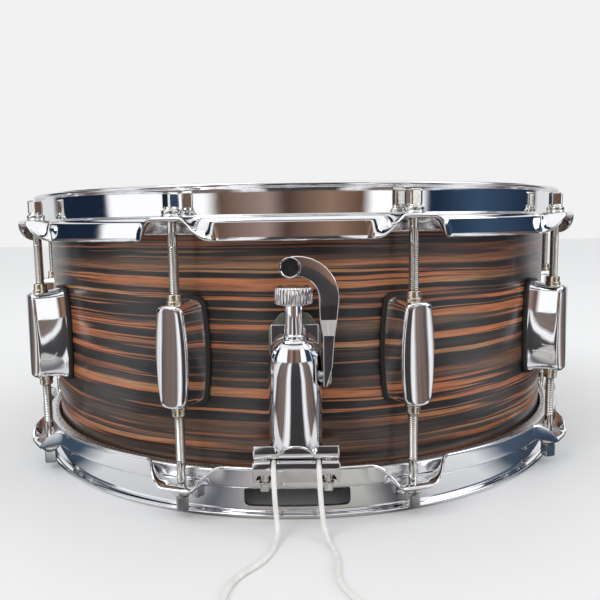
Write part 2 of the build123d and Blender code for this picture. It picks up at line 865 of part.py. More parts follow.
with BuildPart() as snare_clamp_screws:
    for side in (1, -1):
        axis_point = (side * clamp_screw_x, -shell_radius - clamp_screw_out)
        layers = (
            (jaw_bottom, screw_radius, clamp_screw_length),
            (jaw_bottom - clamp_head_height, clamp_head_radius, clamp_head_height),
        )
        for start, radius, length in layers:
            with BuildSketch(level(start)):
                with Locations(axis_point):
                    Circle(radius)
            extrude(amount=length)
        with BuildSketch(level(jaw_bottom - clamp_head_height)):
            with Locations(axis_point):
                Rectangle(clamp_key, clamp_key)
        extrude(amount=-clamp_key_height)
keep(snare_clamp_screws, "snare_clamp_screws")

# Butt plate: a block screwed to the shell at the back, with a plate that clamps the snare cords.
butt_face = shell_radius + butt_front
butt_plate_back = cord_back + cord_radius + cord_clearance
with BuildPart() as butt_body:
    with BuildSketch(face_plane(180, shell_radius - 2)) as outline:
        with Locations((0, (butt_top + butt_bottom) / 2)):
            Rectangle(2 * butt_half, butt_top - butt_bottom)
        fillet(outline.vertices(), butt_round)
    extrude(amount=butt_front + 2)
    with BuildSketch(Plane.XY):
        Circle(butt_seat)
    extrude(amount=2 * mid, mode=Mode.SUBTRACT)
    with BuildSketch(face_plane(180)):
        with Locations((0, butt_screw_height)):
            Circle(screw_radius + screw_fit)
    extrude(amount=butt_seat + butt_screw_reach + 0.5, mode=Mode.SUBTRACT)
    with BuildSketch(face_plane(180, butt_face)):
        with Locations((-butt_screw_x, butt_screw_height), (butt_screw_x, butt_screw_height)):
            Circle(screw_radius + screw_fit)
    extrude(amount=-butt_screw_length + 2, mode=Mode.SUBTRACT)
    with BuildSketch(face_plane(180, cord_back)):
        with Locations((-cord_x, (butt_top + butt_bottom) / 2), (cord_x, (butt_top + butt_bottom) / 2)):
            Rectangle(2 * groove, butt_top - butt_bottom + 2)
    extrude(amount=-groove, mode=Mode.SUBTRACT)
keep(butt_body, "butt_body")

with BuildPart() as butt_clamp_plate:
    with BuildSketch(face_plane(180, butt_face + screw_fit)) as outline:
        with Locations((0, (butt_plate_top + butt_plate_bottom) / 2)):
            Rectangle(2 * butt_half, butt_plate_top - butt_plate_bottom)
        fillet(outline.vertices(), butt_round)
        with Locations((-butt_screw_x, butt_screw_height), (butt_screw_x, butt_screw_height)):
            Circle(screw_radius + screw_hole_clearance, mode=Mode.SUBTRACT)
    extrude(amount=butt_plate_back + butt_plate_thickness - butt_face - screw_fit)
    with BuildSketch(face_plane(180, butt_face)):
        with Locations((-cord_x, butt_screw_height), (cord_x, butt_screw_height)):
            Rectangle(2 * groove, butt_top - butt_bottom)
    extrude(amount=butt_plate_back - butt_face, mode=Mode.SUBTRACT)
keep(butt_clamp_plate, "butt_clamp_plate")

with BuildPart() as butt_clamp_screws:
    head_seat = butt_plate_back + butt_plate_thickness
    layers = (
        (head_seat - butt_screw_length, screw_radius, butt_screw_length),
        (head_seat, clamp_head_radius, clamp_head_height),
    )
    for start, radius, length in layers:
        with BuildSketch(face_plane(180, start)):
            with Locations((-butt_screw_x, butt_screw_height), (butt_screw_x, butt_screw_height)):
                Circle(radius)
        extrude(amount=length)
    with BuildSketch(face_plane(180, head_seat + clamp_head_height)):
        with Locations((-butt_screw_x, butt_screw_height), (butt_screw_x, butt_screw_height)):
            Rectangle(clamp_key, clamp_key)
    extrude(amount=clamp_key_height)
keep(butt_clamp_screws, "butt_clamp_screws")

# Snares: parallel coiled wires under the snare head, soldered to an end plate front and back.
wire_axis = -film_top - wire_gap - wire_radius
with BuildPart() as snare_wires:
    with BuildSketch(Plane.XZ.offset(-wire_length / 2)):
        with Locations((0, mid + wire_axis)):
            with GridLocations(wire_pitch, 0, wire_count, 1):
                Circle(wire_radius)
    extrude(amount=wire_length)
keep(snare_wires, "snare_wires")

plate_level = wire_axis - wire_radius - end_plate_thickness
plate_start = wire_length / 2 - end_plate_lap
with BuildPart() as snare_end_plates:
    for side in (1, -1):
        with BuildSketch(level(plate_level)):
            with Locations((0, side * (plate_start + end_plate_length / 2))):
                RectangleRounded(2 * end_plate_half, end_plate_length, 2)
        extrude(amount=end_plate_thickness)
keep(snare_end_plates, "snare_end_plates")


def cord(points, radii, name):
    """A round cord along straight runs joined by arcs, one radius for each corner."""
    with BuildPart() as tube:
        with BuildLine() as route:
            FilletPolyline(*points, radius=radii)
        centre = route.wires()[0]
        with BuildSketch(Plane(origin=centre @ 0, z_dir=centre % 0)):
            Circle(cord_radius)
        sweep()
        expected = pi * cord_radius**2 * centre.length
        print(name, "radii", radii, "length", round(centre.length, 1), "volume share",
              round(tube.part.volume / expected, 4))
    return tube


# Tight cords: from under an end plate, out through the hoop's window, round the hoop's edge and up.
cord_level = mid + plate_level - cord_radius
corner_level = mid - flange_top - cord_gap - cord_radius


def tight_cord(x, side, upper):
    """One tight cord's route: side is -1 at the strainer and 1 at the butt."""
    return [
        (x, side * (plate_start + end_plate_length - cord_lap), cord_level),
        (x, side * (plate_start + end_plate_length + 2), cord_level),
        (x, side * cord_back, corner_level),
        (x, side * cord_back, mid + upper),
    ]


for side, upper, name in (
    (-1, front_join_height, "front_snare_cords"),
    (1, butt_cord_top, "back_snare_cords"),
):
    with BuildPart() as pair:
        for x in (-cord_x, cord_x):
            add(cord(tight_cord(x, side, upper), [40, cord_bend], name).part)
    keep(pair, name)

# Free tails: up the jaw's back, folded over its top, down its front and the hoop's, and along the
# floor in loose curves. The points are chosen by hand.
tail_front = -shell_radius - jaw_front - groove
floor = cord_radius + 0.05
tails = (
    [
        (-cord_x, -cord_back, mid + front_join_height),
        (-cord_x, -cord_back, mid + cord_top),
        (-cord_x, tail_front, mid + cord_top),
        (-10.4, tail_front - 0.3, 14),
        (-8.6, tail_front - 6, floor),
        (-13, -228, floor),
        (-27, -243, floor),
        (-30, -263, floor),
        (-18, -280, floor),
        (-16, -300, floor),
    ],
    [
        (cord_x, -cord_back, mid + front_join_height),
        (cord_x, -cord_back, mid + cord_top),
        (cord_x, tail_front, mid + cord_top),
        (11.8, tail_front - 0.3, 14),
        (13.6, tail_front - 6, floor),
        (19, -226, floor),
        (17, -246, floor),
        (27, -263, floor),
        (44, -272, floor),
        (58, -286, floor),
    ],
)


def arc_radius(before, corner, after):
    """0.45 of the shorter run, divided by the tangent of half the turn."""
    coming = Vector(*corner) - Vector(*before)
    going = Vector(*after) - Vector(*corner)
    turn = coming.get_angle(going)
    return 0.45 * min(coming.length, going.length) / tan(radians(turn / 2))


with BuildPart() as snare_cord_tails:
    for points in tails:
        radii = [arc_radius(*points[at : at + 3]) for at in range(len(points) - 2)]
        radii[:2] = [fold_bend, fold_bend]
        add(cord(points, [round(radius, 2) for radius in radii], "tail").part)
keep(snare_cord_tails, "snare_cord_tails")
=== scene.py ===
"""Snare drum: the finished surfaces of every piece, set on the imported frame."""

from math import cos, pi, radians, sin

import bmesh
import bpy
import numpy as np
from mathutils import Matrix, Vector


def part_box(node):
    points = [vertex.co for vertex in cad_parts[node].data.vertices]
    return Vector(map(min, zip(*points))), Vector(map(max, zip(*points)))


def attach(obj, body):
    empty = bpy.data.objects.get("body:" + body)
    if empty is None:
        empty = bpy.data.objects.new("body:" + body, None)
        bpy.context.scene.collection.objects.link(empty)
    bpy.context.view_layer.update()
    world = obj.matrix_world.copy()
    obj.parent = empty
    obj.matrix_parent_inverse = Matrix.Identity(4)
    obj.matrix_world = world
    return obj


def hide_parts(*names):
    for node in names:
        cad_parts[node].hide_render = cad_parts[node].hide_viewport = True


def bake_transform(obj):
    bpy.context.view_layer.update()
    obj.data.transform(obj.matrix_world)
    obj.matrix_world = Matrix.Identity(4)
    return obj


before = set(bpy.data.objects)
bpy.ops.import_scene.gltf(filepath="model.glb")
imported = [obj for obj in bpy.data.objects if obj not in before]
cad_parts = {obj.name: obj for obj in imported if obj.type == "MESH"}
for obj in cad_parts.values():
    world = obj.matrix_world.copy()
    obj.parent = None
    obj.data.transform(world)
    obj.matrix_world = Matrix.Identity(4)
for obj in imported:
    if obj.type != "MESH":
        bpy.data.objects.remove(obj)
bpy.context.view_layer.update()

# Sizes are in millimetres. Heights are counted from the drum's mid-height, angles round the drum from
# the strainer side towards +X, and "out" is the distance from the drum's axis.
MM = 0.001
shell_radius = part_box("shell")[1].x / MM
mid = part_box("batter_hoop")[1].z / MM / 2
rod_circle = (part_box("top_rod_03")[0].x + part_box("top_rod_03")[1].x) / 2 / MM

# Camera: close in front of the strainer, level with the upper hoop and looking a little down.
camera_data = bpy.data.cameras.new("camera")
camera_data.sensor_width = 36.0
camera_data.lens = 37.94
camera_data.clip_start = 0.01
camera = bpy.data.objects.new("camera", camera_data)
bpy.context.scene.collection.objects.link(camera)
yaw, pitch, roll = radians(-0.52), radians(-6.89), radians(-0.91)
look = Vector((sin(yaw) * cos(pitch), cos(yaw) * cos(pitch), sin(pitch)))
side = look.cross(Vector((0, 0, 1))).normalized()
right = side * cos(roll) + side.cross(look) * sin(roll)
axes = Matrix((right, right.cross(look), -look)).transposed()
place = Vector((5.8, -493.3, mid + 64.7)) * MM
camera.matrix_world = Matrix.Translation(place) @ axes.to_4x4()
bpy.context.scene.camera = camera
bpy.context.scene.view_settings.view_transform = "Standard"


def material(name, **sockets):
    """A new material, its node tree and its main shader, with some of the shader's own values set."""
    made = bpy.data.materials.new(name)
    made.use_nodes = True
    shader = made.node_tree.nodes["Principled BSDF"]
    for key, value in sockets.items():
        shader.inputs[key.replace("_", " ")].default_value = value
    return made, made.node_tree, shader


def put(tree, kind, inputs=(), **settings):
    """Add one node with its settings, and link or set its inputs by name or number."""
    node = tree.nodes.new("ShaderNode" + kind)
    for key, value in settings.items():
        setattr(node, key, value)
    for key, value in dict(inputs).items():
        if isinstance(value, bpy.types.NodeSocket):
            tree.links.new(value, node.inputs[key])
        else:
            node.inputs[key].default_value = value
    return node


def ramp(tree, factor, *stops, ease="LINEAR"):
    """A colour ramp through (place, colour) stops, read by a factor."""
    node = put(tree, "ValToRGB", {"Fac": factor})
    points = node.color_ramp.elements
    node.color_ramp.interpolation = ease
    while len(points) < len(stops):
        points.new(1.0)
    for point, (at, colour) in zip(points, stops):
        point.position = at
        point.color = (*colour, 1)
    return node.outputs["Color"]


def grey(value):
    """A grey of one value."""
    return (value, value, value)


def spot(tree, scale=(1, 1, 1)):
    """Object coordinates in metres, each scaled."""
    here = put(tree, "TexCoord").outputs["Object"]
    return put(tree, "Mapping", {"Vector": here, "Scale": scale}).outputs["Vector"]


def noise(tree, vector, scale, detail=3.0, rough=0.5):
    """A noise value at a scale."""
    sockets = {"Vector": vector, "Scale": scale, "Detail": detail, "Roughness": rough}
    return put(tree, "TexNoise", sockets).outputs["Fac"]


def bump(tree, shader, height, distance, strength=1.0):
    """Roughen a shader's normal by a height, whose full range is a distance in metres."""
    node = put(tree, "Bump", {"Height": height, "Distance": distance, "Strength": strength})
    tree.links.new(node.outputs["Normal"], shader.inputs["Normal"])


def surface(points, wrap_rows=False, wrap_columns=False):
    """Quads over a (rows, columns, 3) array of points: (vertices, faces)."""
    rows, columns = points.shape[:2]
    index = np.arange(rows * columns).reshape(rows, columns)
    if wrap_rows:
        index = np.vstack([index, index[:1]])
    if wrap_columns:
        index = np.hstack([index, index[:, :1]])
    corners = [index[:-1, :-1], index[1:, :-1], index[1:, 1:], index[:-1, 1:]]
    return points.reshape(-1, 3), np.stack(corners, -1).reshape(-1, 4).tolist()


def loft(rings, closed=False):
    """A skin over closed rings, with a face over each end unless the rings close on themselves."""
    rings = np.asarray(rings, float)
    vertices, faces = surface(rings, wrap_rows=closed, wrap_columns=True)
    if not closed:
        count = rings.shape[1]
        last = len(vertices) - count
        faces.append(list(range(count)))
        faces.append(list(range(last, last + count)))
    return vertices, faces


def join(*shapes):
    """Several shapes as one."""
    vertices, faces, start = [], [], 0
    for points, polygons in shapes:
        vertices.append(points)
        faces += [[start + index for index in polygon] for polygon in polygons]
        start += len(points)
    return np.vstack(vertices), faces


def turned(shape, angle):
    """A shape turned round the drum's axis by an angle in degrees, from -Y towards +X."""
    turn = radians(angle)
    spin = np.array([[cos(turn), -sin(turn), 0], [sin(turn), cos(turn), 0], [0, 0, 1]])
    return shape[0] @ spin.T, shape[1]


def facing(shape, order="xho"):
    """Put a shape at the drum's front: order names its axes as x, h for height and o for out."""
    points = shape[0]
    x, height, out = (points[:, order.index(key)] for key in "xho")
    return np.stack([x, -out, mid + height], -1), shape[1]


def moved(shape, *by):
    """A shape moved along its three axes."""
    return shape[0] + np.array(by), shape[1]


def mirrored(shape):
    """A shape mirrored in the drum's mid-height plane."""
    return shape[0] * (1, 1, -1) + (0, 0, 2 * mid), shape[1]


def revolve(profile, count=96, closed=True):
    """A (radius, height) outline turned round the third axis."""
    radius, height = np.array(profile, float).T
    angle = np.linspace(0, 2 * pi, count, endpoint=False)
    rings = [np.outer(radius, np.cos(angle)), np.outer(radius, np.sin(angle))]
    rings.append(np.repeat(height[:, None], count, 1))
    return loft(np.stack(rings, -1), closed)


def rounded(corners, radius, steps=4, closed=True):
    """An outline with each corner replaced by an arc tangent to its two sides."""
    corners = np.array(corners, float)
    sizes = np.broadcast_to(np.array(radius, float), len(corners))
    out = []
    for at, (corner, size) in enumerate(zip(corners, sizes)):
        ends = not closed and at in (0, len(corners) - 1)
        back = corners[at - 1] - corner
        ahead = corners[(at + 1) % len(corners)] - corner
        lengths = np.linalg.norm(back), np.linalg.norm(ahead)
        back, ahead = back / lengths[0], ahead / lengths[1]
        turn = pi - np.arccos(np.clip(back @ ahead, -1, 1))
        if ends or size <= 0 or turn < 0.02:
            out.append(corner[None])
            continue
        reach = min(size * np.tan(turn / 2), 0.49 * min(lengths))
        middle = (back + ahead) / np.linalg.norm(back + ahead)
        middle = middle * reach / np.tan(turn / 2) / cos(turn / 2)
        share = np.linspace(0, 1, steps + 1)[:, None]
        first, second = back * reach - middle, ahead * reach - middle
        swing = np.sin((1 - share) * turn) * first + np.sin(share * turn) * second
        out.append(corner + middle + swing / sin(turn))
    return np.vstack(out)


def evened(outline, count):
    """A closed outline through points at equal steps along it."""
    loop = np.vstack([outline, outline[:1]])
    along = np.r_[0, np.cumsum(np.linalg.norm(np.diff(loop, axis=0), axis=1))]
    at = np.linspace(0, along[-1], count, endpoint=False)
    return np.stack([np.interp(at, along, loop[:, axis]) for axis in (0, 1)], -1)


def inset(outline, by):
    """A closed outline with every point moved inwards across its own direction."""
    ahead = np.roll(outline, -1, 0) - np.roll(outline, 1, 0)
    across = np.stack([ahead[:, 1], -ahead[:, 0]], -1)
    across /= np.linalg.norm(across, axis=1)[:, None]
    twice_area = np.sum(outline[:, 0] * np.roll(outline[:, 1], -1))
    twice_area -= np.sum(outline[:, 1] * np.roll(outline[:, 0], -1))
    return outline - across * by * np.sign(twice_area)


def slab(outline, low, high, edge=0.4, hollow=None, crown=None):
    """A plate with quarter-round edges from low to high.

    Where hollow or crown is given, the low or high face follows a cylinder of that radius instead."""
    turns = np.linspace(0, pi / 2, 4)
    steps = [(edge * 1.2, low)]
    steps += [(edge * (1 - sin(turn)), low + edge * (1 - cos(turn))) for turn in turns]
    steps += [(edge * (1 - cos(turn)), high - edge * (1 - sin(turn))) for turn in turns]
    steps.append((edge * 1.2, high))
    rings = []
    for number, (by, level) in enumerate(steps):
        ring = inset(outline, by)
        radius, face = (hollow, low) if number < len(steps) // 2 else (crown, high)
        level = np.full(len(ring), float(level))
        if radius:
            level += np.sqrt(radius**2 - ring[:, 0] ** 2) - face
        rings.append(np.column_stack([ring, level]))
    return loft(rings)


def prism(outline, low, high):
    """An outline's plain prism between two levels, for cutting."""
    return loft([np.column_stack([outline, np.full(len(outline), level)]) for level in (low, high)])


def box_outline(width, low, high, corner, steps=4):
    """A rectangle of a width about 0, between two heights, with rounded corners."""
    half = width / 2
    return rounded([(half, low), (half, high), (-half, high), (-half, low)], corner, steps)


def tube(path, radius, count=12):
    """A round tube along a path, its rings turned with the path and no twist."""
    path = np.asarray(path, float)
    ahead = np.gradient(path, axis=0)
    ahead /= np.linalg.norm(ahead, axis=1)[:, None]
    across = np.cross(ahead[0], (0.3, 0.5, 0.8))
    angle = np.linspace(0, 2 * pi, count, endpoint=False)[:, None]
    rings = []
    for point, along in zip(path, ahead):
        across = across - along * (across @ along)
        across /= np.linalg.norm(across)
        other = np.cross(along, across)
        rings.append(point + radius * (np.cos(angle) * across + np.sin(angle) * other))
    return loft(rings)


def mesh_of(name, shape):
    """A mesh in metres from a shape in millimetres."""
    mesh = bpy.data.meshes.new(name)
    mesh.from_pydata((shape[0] * MM).tolist(), [], shape[1])
    return mesh


def carved(shape, *tools):
    """A shape with closed shapes cut out of it, one after another."""
    things = [bpy.data.objects.new("carving", mesh_of("carving", part)) for part in (shape, *tools)]
    for thing in things:
        bpy.context.scene.collection.objects.link(thing)
        work = bmesh.new()
        work.from_mesh(thing.data)
        bmesh.ops.recalc_face_normals(work, faces=work.faces)
        work.to_mesh(thing.data)
        work.free()
    for tool in things[1:]:
        cut = things[0].modifiers.new("cut", "BOOLEAN")
        cut.object = tool
        cut.solver = "EXACT"
    mesh = bpy.data.meshes.new_from_object(things[0].evaluated_get(bpy.context.evaluated_depsgraph_get()))
    points = np.array([vertex.co for vertex in mesh.vertices]) / MM
    faces = [list(face.vertices) for face in mesh.polygons]
    for thing in things:
        bpy.data.objects.remove(thing)
    return points, faces


def piece(name, shape, finish, slot, body, *nodes, edge=32):
    """Make one piece of a body from a shape, smooth except over edges sharper than an angle.

    The piece stands for its CAD nodes, which are hidden, and takes the finish it is given. Its slot is not
    used."""
    mesh = mesh_of(name, shape)
    work = bmesh.new()
    work.from_mesh(mesh)
    bmesh.ops.recalc_face_normals(work, faces=work.faces)
    for line in work.edges:
        line.smooth = len(line.link_faces) == 2 and line.calc_face_angle() < radians(edge)
    for face in work.faces:
        face.smooth = True
    work.to_mesh(mesh)
    work.free()
    mesh.materials.append(finish)
    thing = bpy.data.objects.new(name, mesh)
    bpy.context.scene.collection.objects.link(thing)
    if body:
        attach(thing, body)
    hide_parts(*nodes)
    return thing


# Snare cords: braided white cord. Two run from each end plate; the strainer pair goes up behind the
# clamp's jaw, folds over it, and its free tails hang down in front and lie on the floor.
cord_radius = 1.25
cord_x = 11.0
cord_back = 190.9
cord_join = 26.85
butt_join = 54.85
jaw_top = 33.8
tail_front = 202.15
floor_line = 1.3
cord_white, tree, shader = material("braided_cord", Roughness=0.85, Sheen_Weight=0.25)
weave = put(tree, "TexVoronoi", {"Vector": spot(tree), "Scale": 1700.0}).outputs["Distance"]
soil = noise(tree, spot(tree), 240.0)
shade = ramp(tree, soil, (0.3, (0.80, 0.78, 0.73)), (0.62, (0.90, 0.89, 0.86)))
tree.links.new(shade, shader.inputs["Base Color"])
bump(tree, shader, weave, 0.0003, 0.6)


def spline(route):
    """The points along a smooth NURBS line whose control points are a route's."""
    curve = bpy.data.curves.new("line", "CURVE")
    curve.dimensions = "3D"
    curve.resolution_u = 12
    line = curve.splines.new("NURBS")
    line.points.add(len(route) - 1)
    line.points.foreach_set("co", np.column_stack([np.array(route), np.ones(len(route))]).ravel())
    line.order_u = 3
    line.use_endpoint_u = True
    holder = bpy.data.objects.new("line", curve)
    mesh = bpy.data.meshes.new_from_object(holder)
    points = np.array([vertex.co for vertex in mesh.vertices])
    bpy.data.objects.remove(holder)
    return points


tail_routes = {
    "snare_cord_tail_left": [
        (-cord_x, -cord_back, cord_join),
        (-cord_x, -cord_back, jaw_top),
        (-cord_x, -tail_front, jaw_top),
        (-10.4, -tail_front - 0.3, 14),
        (-8.6, -tail_front - 6, floor_line),
        (-13, -228, floor_line),
        (-27, -243, floor_line),
        (-30, -263, floor_line),
        (-18, -280, floor_line),
        (-16, -300, floor_line),
    ],
    "snare_cord_tail_right": [
        (cord_x, -cord_back, cord_join),
        (cord_x, -cord_back, jaw_top),
        (cord_x, -tail_front, jaw_top),
        (11.8, -tail_front - 0.3, 14),
        (13.6, -tail_front - 6, floor_line),
        (19, -226, floor_line),
        (17, -246, floor_line),
        (27, -263, floor_line),
        (44, -272, floor_line),
        (58, -286, floor_line),
    ],
}
for name, route in tail_routes.items():
    line = spline(route)
    tail = piece(name, tube(line, cord_radius), cord_white, "cord", None, "snare_cord_tails")
    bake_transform(tail)

# The end plates' cords pass over the hoop's gates, and each pair is cut there into an inner piece and an
# outer piece. The back pair's outer piece belongs to the drum; the other pieces belong to no body.
gate_y, plate_y = 168.0, 152.0
for way, top, node in ((-1, cord_join, "front_snare_cords"), (1, butt_join, "back_snare_cords")):
    inner_parts, outer_parts = [], []
    for x in (-cord_x, cord_x):
        route = [(x, 140, 10.4), (x, plate_y, 10.4), (x, cord_back, 14.25), (x, cord_back, top)]
        line = spline([(x, way * y, z) for x, y, z in route])
        split = int(np.argmin(np.abs(np.abs(line[:, 1]) - gate_y)))
        inner_parts.append(tube(line[:split + 1], cord_radius))
        outer_parts.append(tube(line[split:], cord_radius))
    inner_cords = piece(node + "_inner", join(*inner_parts), cord_white, "cord", None, node)
    gate, plate = (0, way * gate_y * MM, 0), (0, way * plate_y * MM, 0)
    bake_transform(inner_cords)
    if way < 0:
        outer_cords = piece(node + "_outer", join(*outer_parts), cord_white, "cord", None, node)
        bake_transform(outer_cords)
    else:
        piece(node + "_outer", join(*outer_parts), cord_white, "cord", "drum", node)

# Studio: a pale floor, a white surround and two soft boxes. Only glossy rays see a darker room: bright
# windows between dark blue walls, a beam under the ceiling, and brown boards on the floor. That room is
# the world's light, and on the floor it is a painted reflection in the colour that glossy rays see.
navy, warm, window = (0.010, 0.020, 0.042), (0.13, 0.075, 0.050), grey(1.1)


def bearing_of(tree, x, y):
    """The angle from -Y towards +X of a direction or place, as a share of a turn, 0.5 at -Y."""
    ahead = put(tree, "Math", {0: y, 1: -1.0}, operation="MULTIPLY").outputs[0]
    angle = put(tree, "Math", {0: x, 1: ahead}, operation="ARCTAN2").outputs[0]
    return put(tree, "MapRange", {"Value": angle, "From Min": -pi, "From Max": pi}).outputs[0]


def blended(tree, share, first, second, kind="MIX"):
    """Two colours mixed by a share, or multiplied."""
    sockets = {0: share, 6: first, 7: second}
    return put(tree, "Mix", sockets, data_type="RGBA", blend_type=kind).outputs[2]


# The floor's colour: a pale mottle for all rays but glossy ones, which see a painted reflection of the
# room, laid out by bearing round the drum: walls and windows near, and brown boards with streaks beyond.
floor_paint_and_painted_reflection, tree, shader = material("floor_paint_and_painted_reflection", Roughness=0.6, Specular_IOR_Level=0.2)
mottle = noise(tree, spot(tree), 3.0)
pale = ramp(tree, mottle, (0.3, grey(0.91)), (0.7, grey(0.93)))
where = put(tree, "SeparateXYZ", {"Vector": spot(tree)})
bearing = bearing_of(tree, where.outputs["X"], where.outputs["Y"])
reach = put(tree, "VectorMath", {0: spot(tree)}, operation="LENGTH").outputs["Value"]
near = ramp(
    tree,
    bearing,
    (0.0, grey(0.5)),
    (0.24, grey(0.85)),
    (0.27, navy),
    (0.35, (0.04, 0.08, 0.14)),
    (0.375, grey(0.9)),
    (0.44, grey(0.75)),
    (0.455, (0.10, 0.11, 0.13)),
    (0.475, (0.50, 0.47, 0.46)),
    (0.535, (0.58, 0.57, 0.54)),
    (0.55, (0.06, 0.06, 0.07)),
    (0.57, grey(0.8)),
    (0.61, grey(0.9)),
    (0.635, (0.05, 0.09, 0.15)),
    (0.73, navy),
    (0.76, grey(0.85)),
    (1.0, grey(0.5)),
)
far = ramp(
    tree,
    bearing,
    (0.0, grey(0.6)),
    (0.16, grey(0.8)),
    (0.19, navy),
    (0.27, (0.22, 0.14, 0.11)),
    (0.31, grey(0.9)),
    (0.345, grey(0.9)),
    (0.355, navy),
    (0.37, warm),
    (0.43, (0.17, 0.115, 0.095)),
    (0.445, grey(1.0)),
    (0.465, grey(1.0)),
    (0.473, (0.016, 0.014, 0.018)),
    (0.545, (0.020, 0.014, 0.016)),
    (0.552, grey(0.95)),
    (0.57, grey(1.0)),
    (0.58, (0.17, 0.115, 0.095)),
    (0.625, warm),
    (0.64, navy),
    (0.65, grey(0.9)),
    (0.69, grey(0.9)),
    (0.73, (0.22, 0.14, 0.11)),
    (0.81, navy),
    (0.84, grey(0.8)),
    (1.0, grey(0.6)),
)
streak = put(tree, "CombineXYZ", {0: bearing}).outputs[0]
streak = ramp(tree, noise(tree, streak, 90.0, 4.0), (0.40, grey(0.45)), (0.52, grey(1.0)))
far = blended(tree, 0.6, far, streak, "MULTIPLY")
beyond = ramp(tree, reach, (0.272, grey(0)), (0.284, grey(1)))
painted_room_reflection = blended(tree, beyond, near, far)
# Painted reflection: glossy rays see the painted room, and every other ray sees the pale floor.
shade = blended(tree, put(tree, "LightPath").outputs["Is Glossy Ray"], pale, painted_room_reflection)
tree.links.new(shade, shader.inputs["Base Color"])
bpy.ops.mesh.primitive_plane_add(size=9.0, location=(0, 0, -0.0002))
floor = bpy.context.object
floor.name = "studio_floor"
floor.data.materials.append(floor_paint_and_painted_reflection)

world = bpy.data.worlds.new("studio")
world.use_nodes = True
bpy.context.scene.world = world
tree = world.node_tree
toward = put(tree, "SeparateXYZ", {"Vector": put(tree, "TexCoord").outputs["Generated"]})
panels = ramp(
    tree,
    bearing_of(tree, toward.outputs["X"], toward.outputs["Y"]),
    (0.0, grey(0.75)),
    (0.15, grey(0.75)),
    (0.165, navy),
    (0.265, navy),
    (0.275, window),
    (0.40, window),
    (0.415, warm),
    (0.47, (0.34, 0.25, 0.22)),
    (0.49, (0.08, 0.05, 0.04)),
    (0.54, (0.28, 0.18, 0.13)),
    (0.575, warm),
    (0.585, window),
    (0.645, window),
    (0.655, navy),
    (0.72, (0.04, 0.08, 0.14)),
    (0.83, navy),
    (0.845, grey(0.8)),
    (1.0, grey(0.75)),
)
rise = toward.outputs["Z"]
overhead = ramp(tree, rise, (0.28, grey(0)), (0.34, grey(1)))
ceiling = ramp(
    tree,
    rise,
    (0.40, grey(0.95)),
    (0.46, navy),
    (0.58, navy),
    (0.64, grey(0.9)),
    (0.9, grey(1.05)),
)
room = blended(tree, overhead, panels, ceiling)
rays = put(tree, "LightPath")
light = blended(tree, rays.outputs["Is Glossy Ray"], (0.86, 0.87, 0.88, 1), room)
light = blended(tree, rays.outputs["Is Camera Ray"], light, (0.885, 0.885, 0.885, 1))
tree.links.new(light, tree.nodes["Background"].inputs["Color"])


def soft_box(name, place, size, power):
    """A square area light at a place in metres, turned to the drum."""
    lamp = bpy.data.lights.new(name, "AREA")
    lamp.size = size
    lamp.energy = power
    holder = bpy.data.objects.new(name, lamp)
    aim = Vector((0, 0, mid * MM)) - Vector(place)
    holder.location = place
    holder.rotation_euler = aim.to_track_quat("-Z", "Y").to_euler()
    bpy.context.scene.collection.objects.link(holder)


soft_box("key_box", (-0.9, -0.9, 1.5), 0.9, 7.0)
soft_box("fill_box", (1.3, -0.5, 0.9), 0.8, 3.0)

# Finishes: chrome plating over a slightly waved polish, aluminium, nickel, zinc, rubber.
chrome, tree, shader = material("chrome_plating", Metallic=1.0)
wave = noise(tree, spot(tree), 38.0, 2.0)
haze = ramp(tree, noise(tree, spot(tree), 160.0, 6.0), (0.35, grey(0.035)), (0.7, grey(0.075)))
tint = ramp(tree, noise(tree, spot(tree), 9.0), (0.3, (0.86, 0.87, 0.90)), (0.7, (0.91, 0.91, 0.92)))
tree.links.new(haze, shader.inputs["Roughness"])
tree.links.new(tint, shader.inputs["Base Color"])
bump(tree, shader, wave, 0.0004, 0.35)


def metal(name, low, high, rough, grain=(1, 1, 1)):
    """A plain metal between two tints, with fine scratches whose grain is stretched by a scale."""
    made, tree, shader = material(name, Metallic=1.0)
    streak = noise(tree, spot(tree, grain), 900.0, 4.0)
    tree.links.new(ramp(tree, streak, (0.3, low), (0.7, high)), shader.inputs["Base Color"])
    spread = ramp(tree, streak, (0.3, grey(rough * 0.8)), (0.7, grey(rough * 1.3)))
    tree.links.new(spread, shader.inputs["Roughness"])
    bump(tree, shader, streak, 0.00004, 0.4)
    return made


aluminium = metal("satin_aluminium", (0.74, 0.75, 0.76), (0.84, 0.85, 0.86), 0.24, (1, 1, 9))
nickel = metal("nickel_brass", (0.66, 0.60, 0.48), (0.80, 0.75, 0.63), 0.16)
threads = metal("plated_thread", (0.62, 0.61, 0.58), (0.80, 0.79, 0.76), 0.09)
zinc = metal("zinc_steel", (0.48, 0.49, 0.50), (0.62, 0.63, 0.64), 0.30)
wire_steel = metal("snare_wire_steel", (0.60, 0.60, 0.60), (0.76, 0.76, 0.76), 0.22)
rubber, tree, shader = material("black_rubber", Roughness=0.5)
grain = noise(tree, spot(tree), 1100.0, 4.0)
tree.links.new(ramp(tree, grain, (0.3, grey(0.010)), (0.7, grey(0.022))), shader.inputs["Base Color"])
bump(tree, shader, grain, 0.00008, 0.5)

